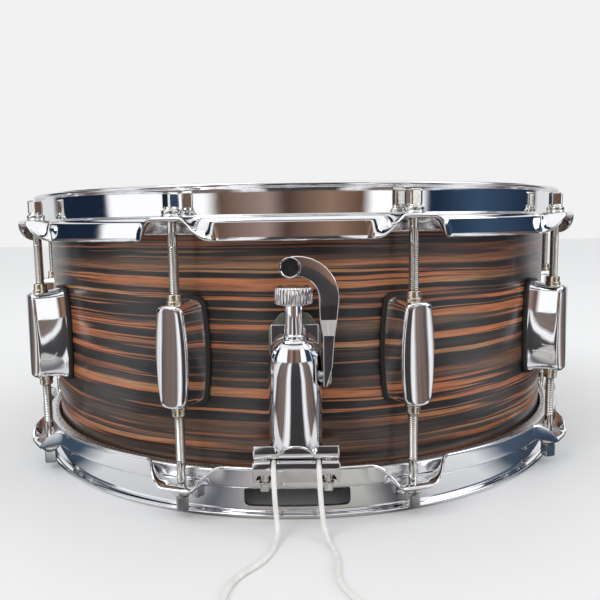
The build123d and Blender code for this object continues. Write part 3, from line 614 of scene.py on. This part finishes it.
# Shell: plies of maple bent to a ring, faced with striped ebony veneer whose grain runs round the
# drum, with a bearing edge cut on each rim. A nickelled grommet lines the vent.
veneer, tree, shader = material("ebony_veneer", Coat_Weight=0.35, Coat_Roughness=0.16)
here = put(tree, "SeparateXYZ", {"Vector": put(tree, "TexCoord").outputs["Object"]})
sway = noise(tree, spot(tree, (1, 1, 2.0)), 9.0, 2.0)
ripple = noise(tree, spot(tree, (1, 1, 4.0)), 38.0, 2.0)
lift = put(tree, "Math", {0: sway, 1: 0.006}, operation="MULTIPLY").outputs[0]
lift = put(tree, "Math", {0: ripple, 1: 0.0005, 2: lift}, operation="MULTIPLY_ADD").outputs[0]
height = put(tree, "Math", {0: here.outputs["Z"], 1: lift}, operation="ADD").outputs[0]
flow = put(tree, "CombineXYZ", {0: here.outputs["X"], 1: here.outputs["Y"], 2: height}).outputs[0]


def bands(scale, around, detail=2.0, rough=0.5):
    """Noise drawn out round the drum: thin across the grain, and long along it by a share."""
    stretch = put(tree, "Mapping", {"Vector": flow, "Scale": (around, around, 1.0)}).outputs["Vector"]
    return noise(tree, stretch, scale, detail, rough)


broad = ramp(
    tree,
    bands(120.0, 0.016, 3.0, 0.6),
    (0.38, (0.012, 0.012, 0.015)),
    (0.49, (0.024, 0.019, 0.020)),
    (0.56, (0.070, 0.042, 0.031)),
    (0.64, (0.165, 0.094, 0.060)),
)
fine = ramp(tree, bands(430.0, 0.009, 2.0, 0.6), (0.545, grey(0)), (0.575, grey(1)))
bold = ramp(tree, bands(240.0, 0.014, 1.0), (0.595, grey(0)), (0.615, grey(1)))
lines = blended(tree, 1.0, fine, bold, "SCREEN")
often = ramp(tree, bands(55.0, 0.09), (0.40, grey(0.15)), (0.54, grey(1)))
lines = blended(tree, 1.0, lines, often, "MULTIPLY")
copper = ramp(
    tree,
    bands(140.0, 0.05),
    (0.35, (0.28, 0.110, 0.050)),
    (0.52, (0.52, 0.165, 0.060)),
    (0.66, (0.44, 0.225, 0.105)),
)
wood = blended(tree, lines, broad, copper)
fibre = bands(1500.0, 0.03, 3.0)
pores = ramp(tree, fibre, (0.38, grey(0.62)), (0.56, grey(1.0)))
wood = blended(tree, 1.0, wood, pores, "MULTIPLY")
tree.links.new(wood, shader.inputs["Base Color"])
tree.links.new(ramp(tree, fibre, (0.3, grey(0.36)), (0.7, grey(0.28))), shader.inputs["Roughness"])
bump(tree, shader, fibre, 0.00006, 0.35)

maple, tree, shader = material("maple_plies", Roughness=0.45)
ply = noise(tree, spot(tree, (1, 1, 14)), 60.0, 4.0)
shade = ramp(tree, ply, (0.3, (0.50, 0.33, 0.18)), (0.7, (0.66, 0.47, 0.28)))
tree.links.new(shade, shader.inputs["Base Color"])

rim = 69.85
inner = shell_radius - 6.5
peak = shell_radius - 1.6
outer_side = rounded(
    [(peak, rim), (shell_radius - 0.7, rim), (shell_radius, rim - 0.7),
     (shell_radius, -rim + 0.7), (shell_radius - 0.7, -rim), (peak, -rim)],
    0.4, closed=False,
)
inner_side = [(peak, -rim), (inner, -rim + peak - inner), (inner, rim - peak + inner), (peak, rim)]
vent_angle, vent_bore = 108.0, 4.5
bore = revolve([(vent_bore + 1.5, 160), (vent_bore + 1.5, 190)], 48, closed=False)
bore = turned(facing(bore), vent_angle)
spans = zip(outer_side, outer_side[1:])
wall = np.vstack([np.linspace(start, end, 12, endpoint=False) for start, end in spans])
shell_profile = np.vstack([wall, inner_side])
shell_shape = moved(revolve(shell_profile, 240), 0, 0, mid)
shell = piece("shell_veneered", carved(shell_shape, bore), veneer, "shell_wood", "drum", "shell")
shell.data.materials.append(maple)
for face in shell.data.polygons:
    centre = face.center
    face.material_index = int(Vector((centre.x, centre.y)).length < (shell_radius - 0.9) * MM)

grommet = rounded(
    [(vent_bore, 170.0), (vent_bore, shell_radius + 1.4), (9.0, shell_radius + 1.4),
     (9.0, shell_radius - 0.2), (vent_bore + 1.5, shell_radius - 0.2), (vent_bore + 1.5, 170.9),
     (8.0, 170.9), (8.0, 170.0)],
    [0.3, 0.9, 0.9, 0, 0, 0, 0.4, 0.4],
)
grommet = turned(facing(revolve(grommet, 48)), vent_angle)
piece("vent_grommet_nickel", grommet, chrome, "chrome", "drum", "vent_grommet")

# Heads: polyester film stretched over each bearing edge and crimped in an aluminium flesh hoop. The
# upper one is sprayed with a white coating, the lower one is thin, clear and hazy.
coating, tree, shader = material("coated_film", Roughness=0.62)
speck = noise(tree, spot(tree), 1600.0, 5.0, 0.7)
wear = noise(tree, spot(tree), 14.0, 4.0)
shade = ramp(tree, wear, (0.3, (0.80, 0.80, 0.78)), (0.7, (0.87, 0.87, 0.855)))
tree.links.new(shade, shader.inputs["Base Color"])
bump(tree, shader, speck, 0.00012, 0.6)
hazy, tree, shader = material("hazy_film", Transmission_Weight=0.55, IOR=1.2)
cloud = noise(tree, spot(tree), 22.0, 5.0)
tree.links.new(ramp(tree, cloud, (0.3, grey(0.80)), (0.7, grey(0.90))), shader.inputs["Base Color"])
tree.links.new(ramp(tree, cloud, (0.3, grey(0.22)), (0.7, grey(0.32))), shader.inputs["Roughness"])
film_edge, flesh_inner, flesh_top, flesh_low = 70.1, 179.45, 66.7, 59.8
film_path = rounded(
    [(0.5, rim), (peak, rim), (shell_radius, rim - 0.7), (flesh_inner - 0.35, flesh_low + 1)],
    [0, 1.2, 2.0, 0], 6, closed=False,
)
film_back = film_path[::-1] + (0.12, 0.2)
film_back[-1] = (0.5, film_edge)
film = moved(revolve(np.vstack([film_path, film_back]), 240), 0, 0, mid)
flesh = rounded(
    [(flesh_inner, flesh_low), (flesh_inner + 6.5, flesh_low), (flesh_inner + 6.5, flesh_top),
     (flesh_inner, flesh_top)],
    [0.8, 1.6, 1.2, 0.8],
)
flesh = moved(revolve(flesh, 240), 0, 0, mid)
piece("batter_film_coated", film, coating, "batter_film", "drum", "batter_head_film")
piece("snare_film_hazy", mirrored(film), hazy, "snare_film", "drum", "snare_head_film")
piece("batter_flesh_hoop", flesh, aluminium, "flesh_hoop", "drum", "batter_head_hoop")
piece("snare_flesh_hoop", mirrored(flesh), aluminium, "flesh_hoop", "drum", "snare_head_hoop")

# Counterhoops: rolled from one steel strip, with a lip at the top, an upright wall, and a flange
# that stays flat for an ear at each rod and is folded down into a skirt between the ears.
gauge = 2.3
lug_step = 36
lug_angles = [lug_step * (index + 0.5) for index in range(10)]


def hoop(steps=900):
    """The strip's section walked from its lip, turning at each bend, at every angle round the drum.

    The last bend turns by nothing within 7 mm of a rod and by 86 degrees from 23 mm off, smoothly
    between, and the skirt that is left beyond it is longer where the bend is less."""
    ear, skirt, full_bend = 7, 23, radians(86)
    angle = np.linspace(0, 360, steps, endpoint=False)
    off = np.abs(angle % lug_step - lug_step / 2) * pi / 180 * 190
    share = np.clip((off - ear) / (skirt - ear), 0, 1)
    fold = full_bend * share * share * (3 - 2 * share)
    bends = [(2.2, 0, 2), (pi, pi / 2, 6), (11.9, 0, 3), (pi, pi / 2, 6), (2.1, 0, 2),
             (0.4 + 2.2 * fold, -fold, 8), (7.75 + 4.9 * (1 - fold / full_bend), 0, 4)]
    heading = np.full(steps, pi)
    at = np.tile((186.0, 83.7), (steps, 1))
    line, headings = [at], [heading]
    for length, turn, count in bends:
        stride = np.broadcast_to(length / count, steps)[:, None]
        for _ in range(count):
            heading = heading + turn / count / 2
            at = at + stride * np.stack([np.cos(heading), np.sin(heading)], -1)
            heading = heading + turn / count / 2
            line.append(at)
            headings.append(heading)
    line, heading = np.stack(line, 1), np.stack(headings, 1)
    across = np.stack([-np.sin(heading), np.cos(heading)], -1) * gauge / 2
    ahead = np.stack([np.cos(heading), np.sin(heading)], -1) * gauge / 2
    swings = np.linspace(pi / 2, -pi / 2, 7)[1:-1]
    last = [line[:, -1] + across[:, -1] * sin(swing) + ahead[:, -1] * cos(swing) for swing in swings]
    first = [line[:, 0] - across[:, 0] * sin(swing) - ahead[:, 0] * cos(swing) for swing in swings]
    ends = np.stack(last, 1), np.stack(first, 1)
    section = np.concatenate([line + across, ends[0], (line - across)[:, ::-1], ends[1]], 1)
    around = np.radians(angle)[:, None]
    radius, height = section[..., 0], section[..., 1]
    points = np.stack([radius * np.sin(around), -radius * np.cos(around), mid + height], -1)
    return loft(points, closed=True)


batter_hoop = hoop()
piece("batter_counterhoop", batter_hoop, chrome, "chrome", "drum", "batter_hoop")
gate = box_outline(55.0, -79.95, -69.3, 3.0, 6)
gates = [turned(facing(prism(gate, 172.0, 185.6)), angle) for angle in (0, 180)]
snare_hoop = carved(mirrored(batter_hoop), *gates)
piece("snare_counterhoop", snare_hoop, chrome, "chrome", "drum", "snare_hoop")

# Tension rods: a rolled thread, a plain shank, a flange with a small cone and a square key head. Each
# has a pressed washer on the hoop's ear, and screws into a nickelled brass insert in its lug.
thread_pitch, thread_low, thread_high = 1.06, 18.6, 55.4


def square_key(sizes, turn=0.0):
    """A square key head through (half width, level) pairs, turned by an angle in degrees.

    Its radius is the -1/9 power of the ninth powers of the angle's cosine and sine, added."""
    around = np.linspace(0, 2 * pi, 48, endpoint=False)
    square = (np.abs(np.cos(around)) ** 9 + np.abs(np.sin(around)) ** 9) ** (-1 / 9)
    x, y = square * np.cos(around + radians(turn)), square * np.sin(around + radians(turn))
    return loft([np.stack([half * x, half * y, np.full(48, level)], -1) for half, level in sizes])


def rod(turn):
    """One upper rod about its own axis, from the thread's end up, its key turned by an angle.

    The thread's radius falls from its crest by a triangle wave of height over pitch less angle."""
    angle = np.linspace(0, 2 * pi, 24, endpoint=False)
    level = np.arange(thread_low, thread_high, thread_pitch / 6)[:, None]
    phase = level / thread_pitch - angle / 2 / pi
    fade = np.clip((thread_high - level) / 1.5, 0, 1) * np.clip(level - thread_low, 0.35, 1)
    radius = 2.7 - 0.55 * np.abs(2 * (phase - np.floor(phase + 0.5))) * fade - 0.25 * (1 - fade)
    across = [radius * np.cos(angle), radius * np.sin(angle), level + 0 * angle]
    thread = loft(np.stack(across, -1))
    shank = revolve(rounded([(0.3, 54.5), (2.35, 54.5), (2.35, 70.4), (0.3, 70.4)], 0.1), 32)
    flange = rounded(
        [(0.3, 70.25), (5.0, 70.25), (5.0, 71.9), (3.9, 72.6), (3.5, 73.8), (0.3, 73.8)],
        [0, 0.3, 0.8, 0.6, 0.3, 0],
    )
    sizes = [(3.175, 73.2), (3.175, 79.7), (3.1, 80.2), (2.85, 80.6), (2.4, 80.82), (2.2, 80.85)]
    return join(thread, shank, revolve(flange, 48), square_key(sizes, turn))


washer = rounded(
    [(2.8, 69.0), (5.3, 69.0), (5.3, 69.5), (4.9, 70.2), (2.8, 70.2)],
    [0, 0.2, 0.4, 0.4, 0],
)
collar = rounded(
    [(2.75, 24.0), (4.3, 24.0), (4.3, 27.3), (3.8, 27.7), (3.8, 31.0), (2.75, 31.0)],
    [0, 0, 0.3, 0.1, 0.5, 0.3],
)
washers, collars = [], []
for index, angle in enumerate(lug_angles):
    number = f"{index + 1:02d}"
    for name, way in (("top", 1), ("bottom", -1)):
        seat = moved(rod(way * 37 * index), 0, -rod_circle, mid)
        seat = turned(seat if way > 0 else mirrored(seat), angle)
        node = f"{name}_rod_{number}"
        piece(node + "_threaded", seat, threads, "chrome", node + "_body", node)
        for profile, made in ((washer, washers), (collar, collars)):
            shape = moved(revolve(profile, 40), 0, -rod_circle, mid)
            made.append(turned(shape if way > 0 else mirrored(shape), angle))
piece("rod_washers_pressed", join(*washers), chrome, "chrome", "drum", "rod_washers")
piece("lug_insert_collars", join(*collars), nickel, "insert_brass", "drum", "lug_inserts")

# Lugs: zinc castings, chromed, each on a black rubber gasket. The face is a long barrel with a
# rounded bright edge and a gentle crown, and the flanks flare to the base on the shell.
lug_seat = 179.8


def barrel(length, middle, end, corner, bow=0.9, count=132):
    """A barrel outline: sides and ends bowed through their middles, and corners of one radius."""
    half = length / 2
    between = (middle * 3 + end) / 8
    side = [(end / 2, bow - half), (between, -half / 2), (middle / 2, 0), (between, half / 2)]
    corners = np.array(side + [(end / 2, half - bow), (0, half)])
    corners = np.vstack([corners, -corners])
    return evened(rounded(corners, [corner, 150, 150, 150, corner, 40] * 2, 6), count)


def lug():
    """A lug at the drum's front, as barrels from its seat on the shell out to its crowned face."""
    face, bulge = 19.4, 1.3
    levels = (
        (0.0, 56.2, 21.6, 17.4, 5.5), (0.9, 56.0, 21.5, 17.3, 5.5), (1.5, 55.4, 21.0, 16.8, 5.2),
        (4.0, 54.2, 19.6, 15.4, 4.6), (9.0, 53.0, 18.4, 14.2, 4.2), (14.0, 52.4, 18.0, 13.8, 4.0),
        (17.0, 52.4, 18.1, 13.9, 4.0), (18.2, 52.3, 18.0, 13.8, 3.9), (18.9, 51.6, 17.4, 13.2, 3.6),
        (19.3, 50.6, 16.5, 12.3, 3.2), (face, 49.6, 15.6, 11.4, 2.8),
    )
    rings = []
    for rise, length, middle, end, corner in levels:
        ring = barrel(length, middle, end, corner)
        share = rise / face
        base = np.sqrt(lug_seat**2 - ring[:, 0] ** 2) + rise
        crown = lug_seat + rise - bulge * (ring[:, 0] / 8) ** 2 * (rise > 15)
        rings.append(np.column_stack([ring, base * (1 - share) + crown * share]))
    for share in (0.8, 0.55, 0.3, 0.08, 0.01):
        x = ring[:, 0] * share
        rings.append(np.column_stack([x, ring[:, 1], lug_seat + face + 0.25 - bulge * (x / 8) ** 2]))
    return facing(loft(rings))


lug_shape = lug()
gaskets = []
for index, angle in enumerate(lug_angles):
    node = f"lug_{index + 1:02d}"
    piece(node + "_cast", turned(lug_shape, angle), chrome, "chrome", "drum", node, edge=50)
    pad = slab(barrel(59.2, 24.8, 20.4, 6.8), 177.8, 180.6, 0.8, hollow=177.85, crown=180.6)
    gaskets.append(turned(facing(pad), angle))
butt_pad = slab(box_outline(42.0, -55.0, -27.0, 3.5), 177.8, 179.4, 0.5, hollow=177.85, crown=179.6)
gaskets.append(turned(facing(butt_pad), 180))
piece("lug_gaskets", join(*gaskets), rubber, "gasket_rubber", "drum", "gaskets")

# Strainer base: a moulded grey-green pad against the shell, a chromed steel plate on it, and the cast
# housing, which has shoulders round the shaft and an apron with an arch in front of the clamp.
pad_green, tree, shader = material("clear_green_pad", Transmission_Weight=0.5, IOR=1.45)
cloud = noise(tree, spot(tree), 120.0, 3.0)
shade = ramp(tree, cloud, (0.3, (0.17, 0.19, 0.13)), (0.7, (0.34, 0.38, 0.29)))
tree.links.new(shade, shader.inputs["Base Color"])
tree.links.new(ramp(tree, cloud, (0.3, grey(0.22)), (0.7, grey(0.32))), shader.inputs["Roughness"])
bump(tree, shader, cloud, 0.0002, 0.3)
outline = rounded([(13.2, -47), (13.2, 12.5), (7.0, 20.6), (-7.0, 20.6), (-13.2, 12.5), (-13.2, -47)],
                  [1, 5, 4, 4, 5, 1])
pad = slab(outline, 177.8, 180.2, 0.9, hollow=177.85, crown=180.6)
piece("strainer_pad", facing(pad), pad_green, "gasket_rubber", "drum", "gaskets")
plate = slab(box_outline(24.0, -46, 15, 0.8), 180.0, 182.5, 0.5)
piece("strainer_plate", facing(plate), chrome, "chrome", "drum", "strainer_back_plate")

axis_out = 192.0
house_back = 182.45


def dome(half, side_depth, depth, back, count=28):
    """A level section of the housing: a flat back, straight sides and an elliptic round front."""
    turn = np.linspace(0, pi, count)
    bulge = (depth - side_depth) * np.sin(turn)
    front = np.column_stack([half * np.cos(turn), house_back + side_depth + bulge])
    side = np.linspace(back, house_back + side_depth, 4)[:-1]
    base = np.column_stack([np.linspace(-half, half, 8)[1:-1], np.full(6, back)])
    right, left = np.full(3, half), np.full(3, -half)
    return np.vstack([np.column_stack([right, side]), front, np.column_stack([left, side[::-1]]), base])


def level_ring(half, side_depth, depth, height, scoop=0.0, back=house_back):
    """A dome section at a height, lower by a scoop on each side of the shaft's boss."""
    ring = dome(half, side_depth, depth, back)
    dip = scoop * np.clip(np.abs(ring[:, 0]) / 4.6 - 1, 0, 1)
    return np.column_stack([ring, height - dip])


rings = [level_ring(half, side_depth, depth, height, back=house_back + 1)
         for half, side_depth, depth, height in (
             (9.8, 6.5, 16.5, 2.0), (11.2, 6.5, 18.5, -5.0), (11.2, 6.5, 18.5, -42.0),
             (10.0, 6.5, 18.2, -46.9), (10.3, 7.0, 18.8, -47.0))]
for height, half, side_depth, depth, scoop in (
    (-46.6, 11.6, 7.5, 20.2, 0), (-44.5, 12.4, 7.5, 20.6, 0), (-41.0, 13.1, 7.5, 20.7, 0),
    (-36.0, 13.2, 7.5, 20.7, 0), (-22.0, 13.2, 7.5, 20.6, 0), (-8.0, 13.2, 7.5, 20.5, 0),
    (-2.0, 13.1, 7.5, 20.4, 0), (2.0, 12.6, 7.2, 20.0, 0), (5.5, 11.8, 6.8, 19.3, 0.6),
    (8.0, 11.0, 6.3, 18.6, 2.0), (9.3, 10.5, 6.0, 18.1, 2.6), (9.8, 10.1, 5.7, 17.6, 2.6),
    (9.9, 9.5, 5.3, 17.0, 2.6),
):
    rings.append(level_ring(half, side_depth, depth, height, scoop))
housing = facing(loft(rings), "xoh")
clamp_slot = facing(prism(box_outline(32.0, 180.0, 196.6, 0.2), -50.0, -42.4), "xoh")
arch_centre, arch_radius = -50.6, 9.6
arch = facing(revolve([(arch_radius, 190.0), (arch_radius, 215.0)], 64, closed=False))
arch = moved(arch, 0, 0, arch_centre)
housing = carved(housing, clamp_slot, arch)
sweep = np.radians(np.linspace(158, 22, 40))
bead_x = (arch_radius + 0.1) * np.cos(sweep)
bead_height = arch_centre + (arch_radius + 0.1) * np.sin(sweep)
bead_out = house_back + 7.5 + 12.9 * np.sqrt(1 - (bead_x / 12.9) ** 2)
bead = facing(tube(np.column_stack([bead_x, bead_height, bead_out]), 0.65))
bushing = rounded([(4.6, 7.0), (5.4, 7.0), (5.4, 11.2), (4.6, 12.6)], [0, 0, 1.0, 0.2])
bushing = facing(moved(revolve(bushing, 40), 0, axis_out, 0), "xoh")
casting = join(housing, bead, bushing)
piece("strainer_casting", casting, chrome, "chrome", "drum", "strainer_housing", edge=40)
stud = [(0.4, 196.2), (2.3, 196.2), (2.3, 197.0), (1.9, 197.6), (1.1, 197.6), (1.0, 196.9), (0.4, 196.9)]
stud = moved(facing(revolve(stud, 32)), 0, 0, -41.0)
piece("strainer_stud", stud, chrome, "chrome", "carriage")

# Adjusting knob: turned from bar, with thirty ribs round its rim, a dished top and a polished shaft.
def ribbed(levels, ribs, steps, dip, swell=0.0):
    """A turned shape with ribs, through levels of height, radius and share of the ribs' depth.

    The radius falls by the dip between ribs and grows by the swell, times the share."""
    around = np.linspace(0, 2 * pi, ribs * steps, endpoint=False)
    flute = np.abs(np.sin(around * ribs / 2)) ** 0.7
    rings = []
    for level, radius, share in levels:
        reach = radius - dip * share * (1 - flute) + swell * share
        ring = [reach * np.cos(around), reach * np.sin(around), np.full(len(around), level)]
        rings.append(np.stack(ring, -1))
    return loft(rings)


levels = [
    (26.2, 3.0, 0), (26.2, 8.0, 0), (26.6, 8.7, 0.3), (27.2, 9.15, 1), (34.0, 9.15, 1), (34.6, 8.8, 0.4),
    (35.0, 8.2, 0), (35.0, 7.8, 0), (34.5, 7.2, 0), (34.4, 4.0, 0), (34.4, 1.0, 0),
]
rim_ribs = ribbed(levels, 30, 10, 0.55, 0.15)
shaft = rounded([(0.3, -8.0), (4.5, -8.0), (4.5, 26.3), (0.3, 26.3)], 0.05)
spindle = [(0.3, -39.5), (2.6, -39.5), (3.0, -39.0), (3.0, -7.0), (0.3, -7.0)]
knob = join(rim_ribs, revolve(shaft, 48), revolve(spindle, 32))
knob = facing(moved(knob, 0, axis_out, 0), "xoh")
piece("adjusting_knob_ribbed", knob, chrome, "chrome", "knob", "adjusting_knob", edge=40)

# Lever: a chromed strip bent round the knob as a hook and set back in two joggles, with an arm beside
# the housing for its pivot and a ribbed grip tube on its tip.
hook_x, hook_height, hook_outer, hook_inner = 2.0, 31.0, 19.2, 9.8
lever_out = 208.0
grip_x, grip_height = -1.0, 45.2
pivot_out, pivot_height = 15.2, -9.0


def set_back(height):
    """How far the strip lies behind the hook's face at a height: two joggles, rounded a little."""
    return np.interp(height, [9.5, 12.0, 14.0, 20.5, 21.7, 27.0, 28.0], [7.5, 7.3, 6.2, 1.75, 1.5, 0.05, 0])


def strip_section(outer, inner, out, edge=0.45):
    """The strip's rounded section between two edge points, its front face at a distance out."""
    outer, inner = np.array(outer, float), np.array(inner, float)
    along = outer - inner
    width = np.linalg.norm(along)
    along /= width
    loop = rounded([(0, 0), (width, 0), (width, -2.4), (0, -2.4)], edge, 3)
    flat = inner + loop[:, :1] * along
    return np.column_stack([flat, out + loop[:, 1]])


rings = []
for sweep in np.linspace(98, 0, 40):
    ray = np.array([cos(radians(sweep)), sin(radians(sweep))])
    hub = np.array([hook_x, hook_height])
    rings.append(strip_section(hub + ray * hook_outer, hub + ray * hook_inner, lever_out))
for height in np.r_[30.0, 29.0, np.linspace(28.2, 9.0, 33), 5.0, 0.0, -3.0, -7.0, -10.0, -12.0]:
    outer = np.interp(height, [-12, -7, -3, 5, 12, 21.5, 31], [15.4, 17.0, 18.1, 18.7, 19.3, 20.3, 21.2])
    within = np.interp(height, [12, 21.5, 31], [13.65, 12.1, 11.8])
    rings.append(strip_section((outer, height), (within, height), lever_out - set_back(height)))
strip = facing(loft(rings))
arm = rounded(
    [(9.2, 6.0), (9.2, -9.0), (10.4, -13.0), (15.2, -15.0), (20.0, -13.0), (22.4, -10.5), (22.4, 6.0)],
    [3.0, 3.0, 4.0, 5.0, 3.0, 1.0, 1.0],
)
arm = facing(moved(slab(arm, 13.65, 16.1, 0.4), shell_radius, 0, 0), "ohx")
piece("lever_strip", join(strip, arm), chrome, "chrome", "lever", "strainer_lever")
levels = [
    (208.0, 3.0, 0), (208.0, 4.3, 0), (208.4, 4.75, 0.5), (209.0, 4.85, 1), (212.4, 4.85, 1),
    (212.8, 4.9, 0), (213.5, 4.9, 0), (213.8, 4.65, 0), (213.8, 4.25, 0), (213.5, 3.95, 0),
    (210.0, 3.9, 0), (209.8, 3.7, 0), (209.8, 1.0, 0),
]
grip = moved(ribbed(levels, 22, 6, 0.4), grip_x, grip_height, 0)
piece("lever_grip_tube", facing(grip), chrome, "chrome", "lever", "lever_tip", edge=40)
core = revolve([(0.3, 209.9), (3.8, 209.9), (3.8, 210.4), (0.3, 210.4)], 40)
core = facing(moved(core, grip_x, grip_height, 0))
piece("lever_grip_plug", core, rubber, "gasket_rubber", "lever")
pin = [
    (0.3, 11.0), (3.0, 11.0), (3.0, 16.2), (4.2, 16.2), (4.2, 17.1), (3.6, 17.7), (1.6, 17.7),
    (1.3, 17.3), (0.3, 17.3),
]
pin = facing(moved(revolve(pin, 40), shell_radius + pivot_out, pivot_height, 0), "ohx")
piece("lever_pivot_pin_turned", pin, zinc, "chrome", "drum", "lever_pivot_pin")

# Snare clamp: a steel block under the slide, and a jaw with a bevelled front drawn up to it by two
# square key screws, which pinches the cords in its grooves.
jaw_screw_x = 15.7
block = facing(slab(box_outline(42.6, 184.0, 196.0, 1.0), -49.4, -43.0, 0.35), "xoh")
piece("clamp_block", block, chrome, "chrome", "carriage", "snare_clamp_block")
jaw = rounded([(190.3, -49.8), (190.3, -61.5), (196.0, -61.5), (200.5, -53.6), (200.5, -49.8)], 0.5)
jaw = facing(slab(jaw, -21.3, 21.3, 0.5), "ohx")
tools = []
for way in (-1, 1):
    trough = prism(box_outline(3.3, -52.7, -49.0, 0.3) + (way * cord_x, 0), 188.0, 203.0)
    slot = prism(box_outline(3.3, 188.0, 192.55, 0.3) + (way * cord_x, 0), -63.0, -49.2)
    recess = revolve([(4.4, -63.0), (4.4, -56.5)], 40, closed=False)
    recess = moved(recess, way * jaw_screw_x, 195.4, 0)
    tools += [facing(trough), facing(slot, "xoh"), facing(recess, "xoh")]
piece("clamp_jaw", carved(jaw, *tools), chrome, "chrome", "carriage", "snare_clamp_jaw")


def key_screw(seat, length):
    """A screw about the third axis: its shank, a round head from the seat, and a square key."""
    tip, head = seat + length, seat - 1.2
    outline = [(0.3, tip), (2.0, tip), (2.0, seat), (3.0, seat), (3.0, head), (0.3, head)]
    body = revolve(rounded(outline, [0, 0.3, 0, 0.3, 0.5, 0]), 32)
    sizes = ((2.3, 1.0), (2.3, 4.1), (2.2, 4.5), (1.9, 4.8), (1.7, 4.8))
    return join(body, square_key([(half, seat - depth) for half, depth in sizes]))


jaw_screw = key_screw(-61.5, 14.0)
screws = [facing(moved(jaw_screw, way * jaw_screw_x, 193.4, 0), "xoh") for way in (-1, 1)]
piece("clamp_key_screws", join(*screws), threads, "chrome", "carriage", "snare_clamp_screws")

# Butt end: a chromed block screwed to the back of the shell, and a plate with two key screws that
# holds the other ends of the cords.
body = slab(box_outline(40.0, -54.0, -28.0, 3.0), 179.3, 190.0, 1.2, hollow=179.4)
piece("butt_block", turned(facing(body), 180), chrome, "chrome", "drum", "butt_body")
plate = slab(box_outline(40.0, -51.0, -33.0, 3.0), 190.05, 195.75, 1.2)
grooves = []
for x in (-cord_x, cord_x):
    grooves.append(facing(prism(box_outline(3.3, -60.0, -24.0, 0.3) + (x, 0), 188.0, 192.6)))
plate = turned(carved(facing(plate), *grooves), 180)
piece("butt_plate", plate, chrome, "chrome", "drum", "butt_clamp_plate")
screws = []
for x in (-16.0, 16.0):
    screw = key_screw(-195.75, 10.0)
    screw = (screw[0] * (1, 1, -1) + (x, -42.0, 0), screw[1])
    screws.append(turned(facing(screw), 180))
piece("butt_key_screws", join(*screws), threads, "chrome", "drum", "butt_clamp_screws")

# Snares: twenty coiled steel wires under the lower head, soldered to a plate at each end.
coil_radius, wire_thickness, coil_pitch, wire_length = 0.88, 0.2, 1.7, 272.0
wire_height = -71.25


def coil(x):
    """One snare wire along Y: a helix of the coil's radius and pitch, as a thin four-sided tube."""
    turns = wire_length / coil_pitch
    angle = np.linspace(0, 2 * pi * turns, int(turns * 8) + 1)
    path = [x + coil_radius * np.cos(angle), (angle / (2 * pi * turns) - 0.5) * wire_length,
            mid + wire_height + coil_radius * np.sin(angle)]
    radial = np.stack([np.cos(angle), 0 * angle, np.sin(angle)], -1) * wire_thickness
    along = np.array([0, wire_thickness, 0])
    path = np.stack(path, -1)
    return loft(np.stack([path + radial, path + along, path - radial, path - along], 1))


places = (np.arange(20) - 9.5) * 2.25
for name, chosen in (("left", places[:10]), ("right", places[10:])):
    piece("snare_wires_" + name, join(*[coil(x) for x in chosen]), wire_steel, "snare_steel", "snares",
          "snare_wires", edge=100)
plates = []
for angle in (0, 180):
    sheet = slab(box_outline(45.0, 134.0, 150.0, 2.0), -73.2, -72.35, 0.2)
    bead = rounded([(0.2, -1.2), (0.8, -1.0), (1.0, 0), (0.8, 1.0), (0.2, 1.2)], 0.2)
    solder = [moved(revolve(bead, 12), x, 135.2, -71.9) for x in places]
    plates.append(turned(facing(join(sheet, *solder), "xoh"), angle))
piece("snare_end_plates_soldered", join(*plates), zinc, "snare_steel", "snares", "snare_end_plates")

# What stays as the CAD has it is given a finish: zinc for the slide in the housing, and plated thread for
# the screws and washers inside the shell.
for node, finish in (("strainer_slide", zinc), ("shell_screws", threads)):
    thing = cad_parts[node]
    thing.data.materials.clear()
    thing.data.materials.append(finish)
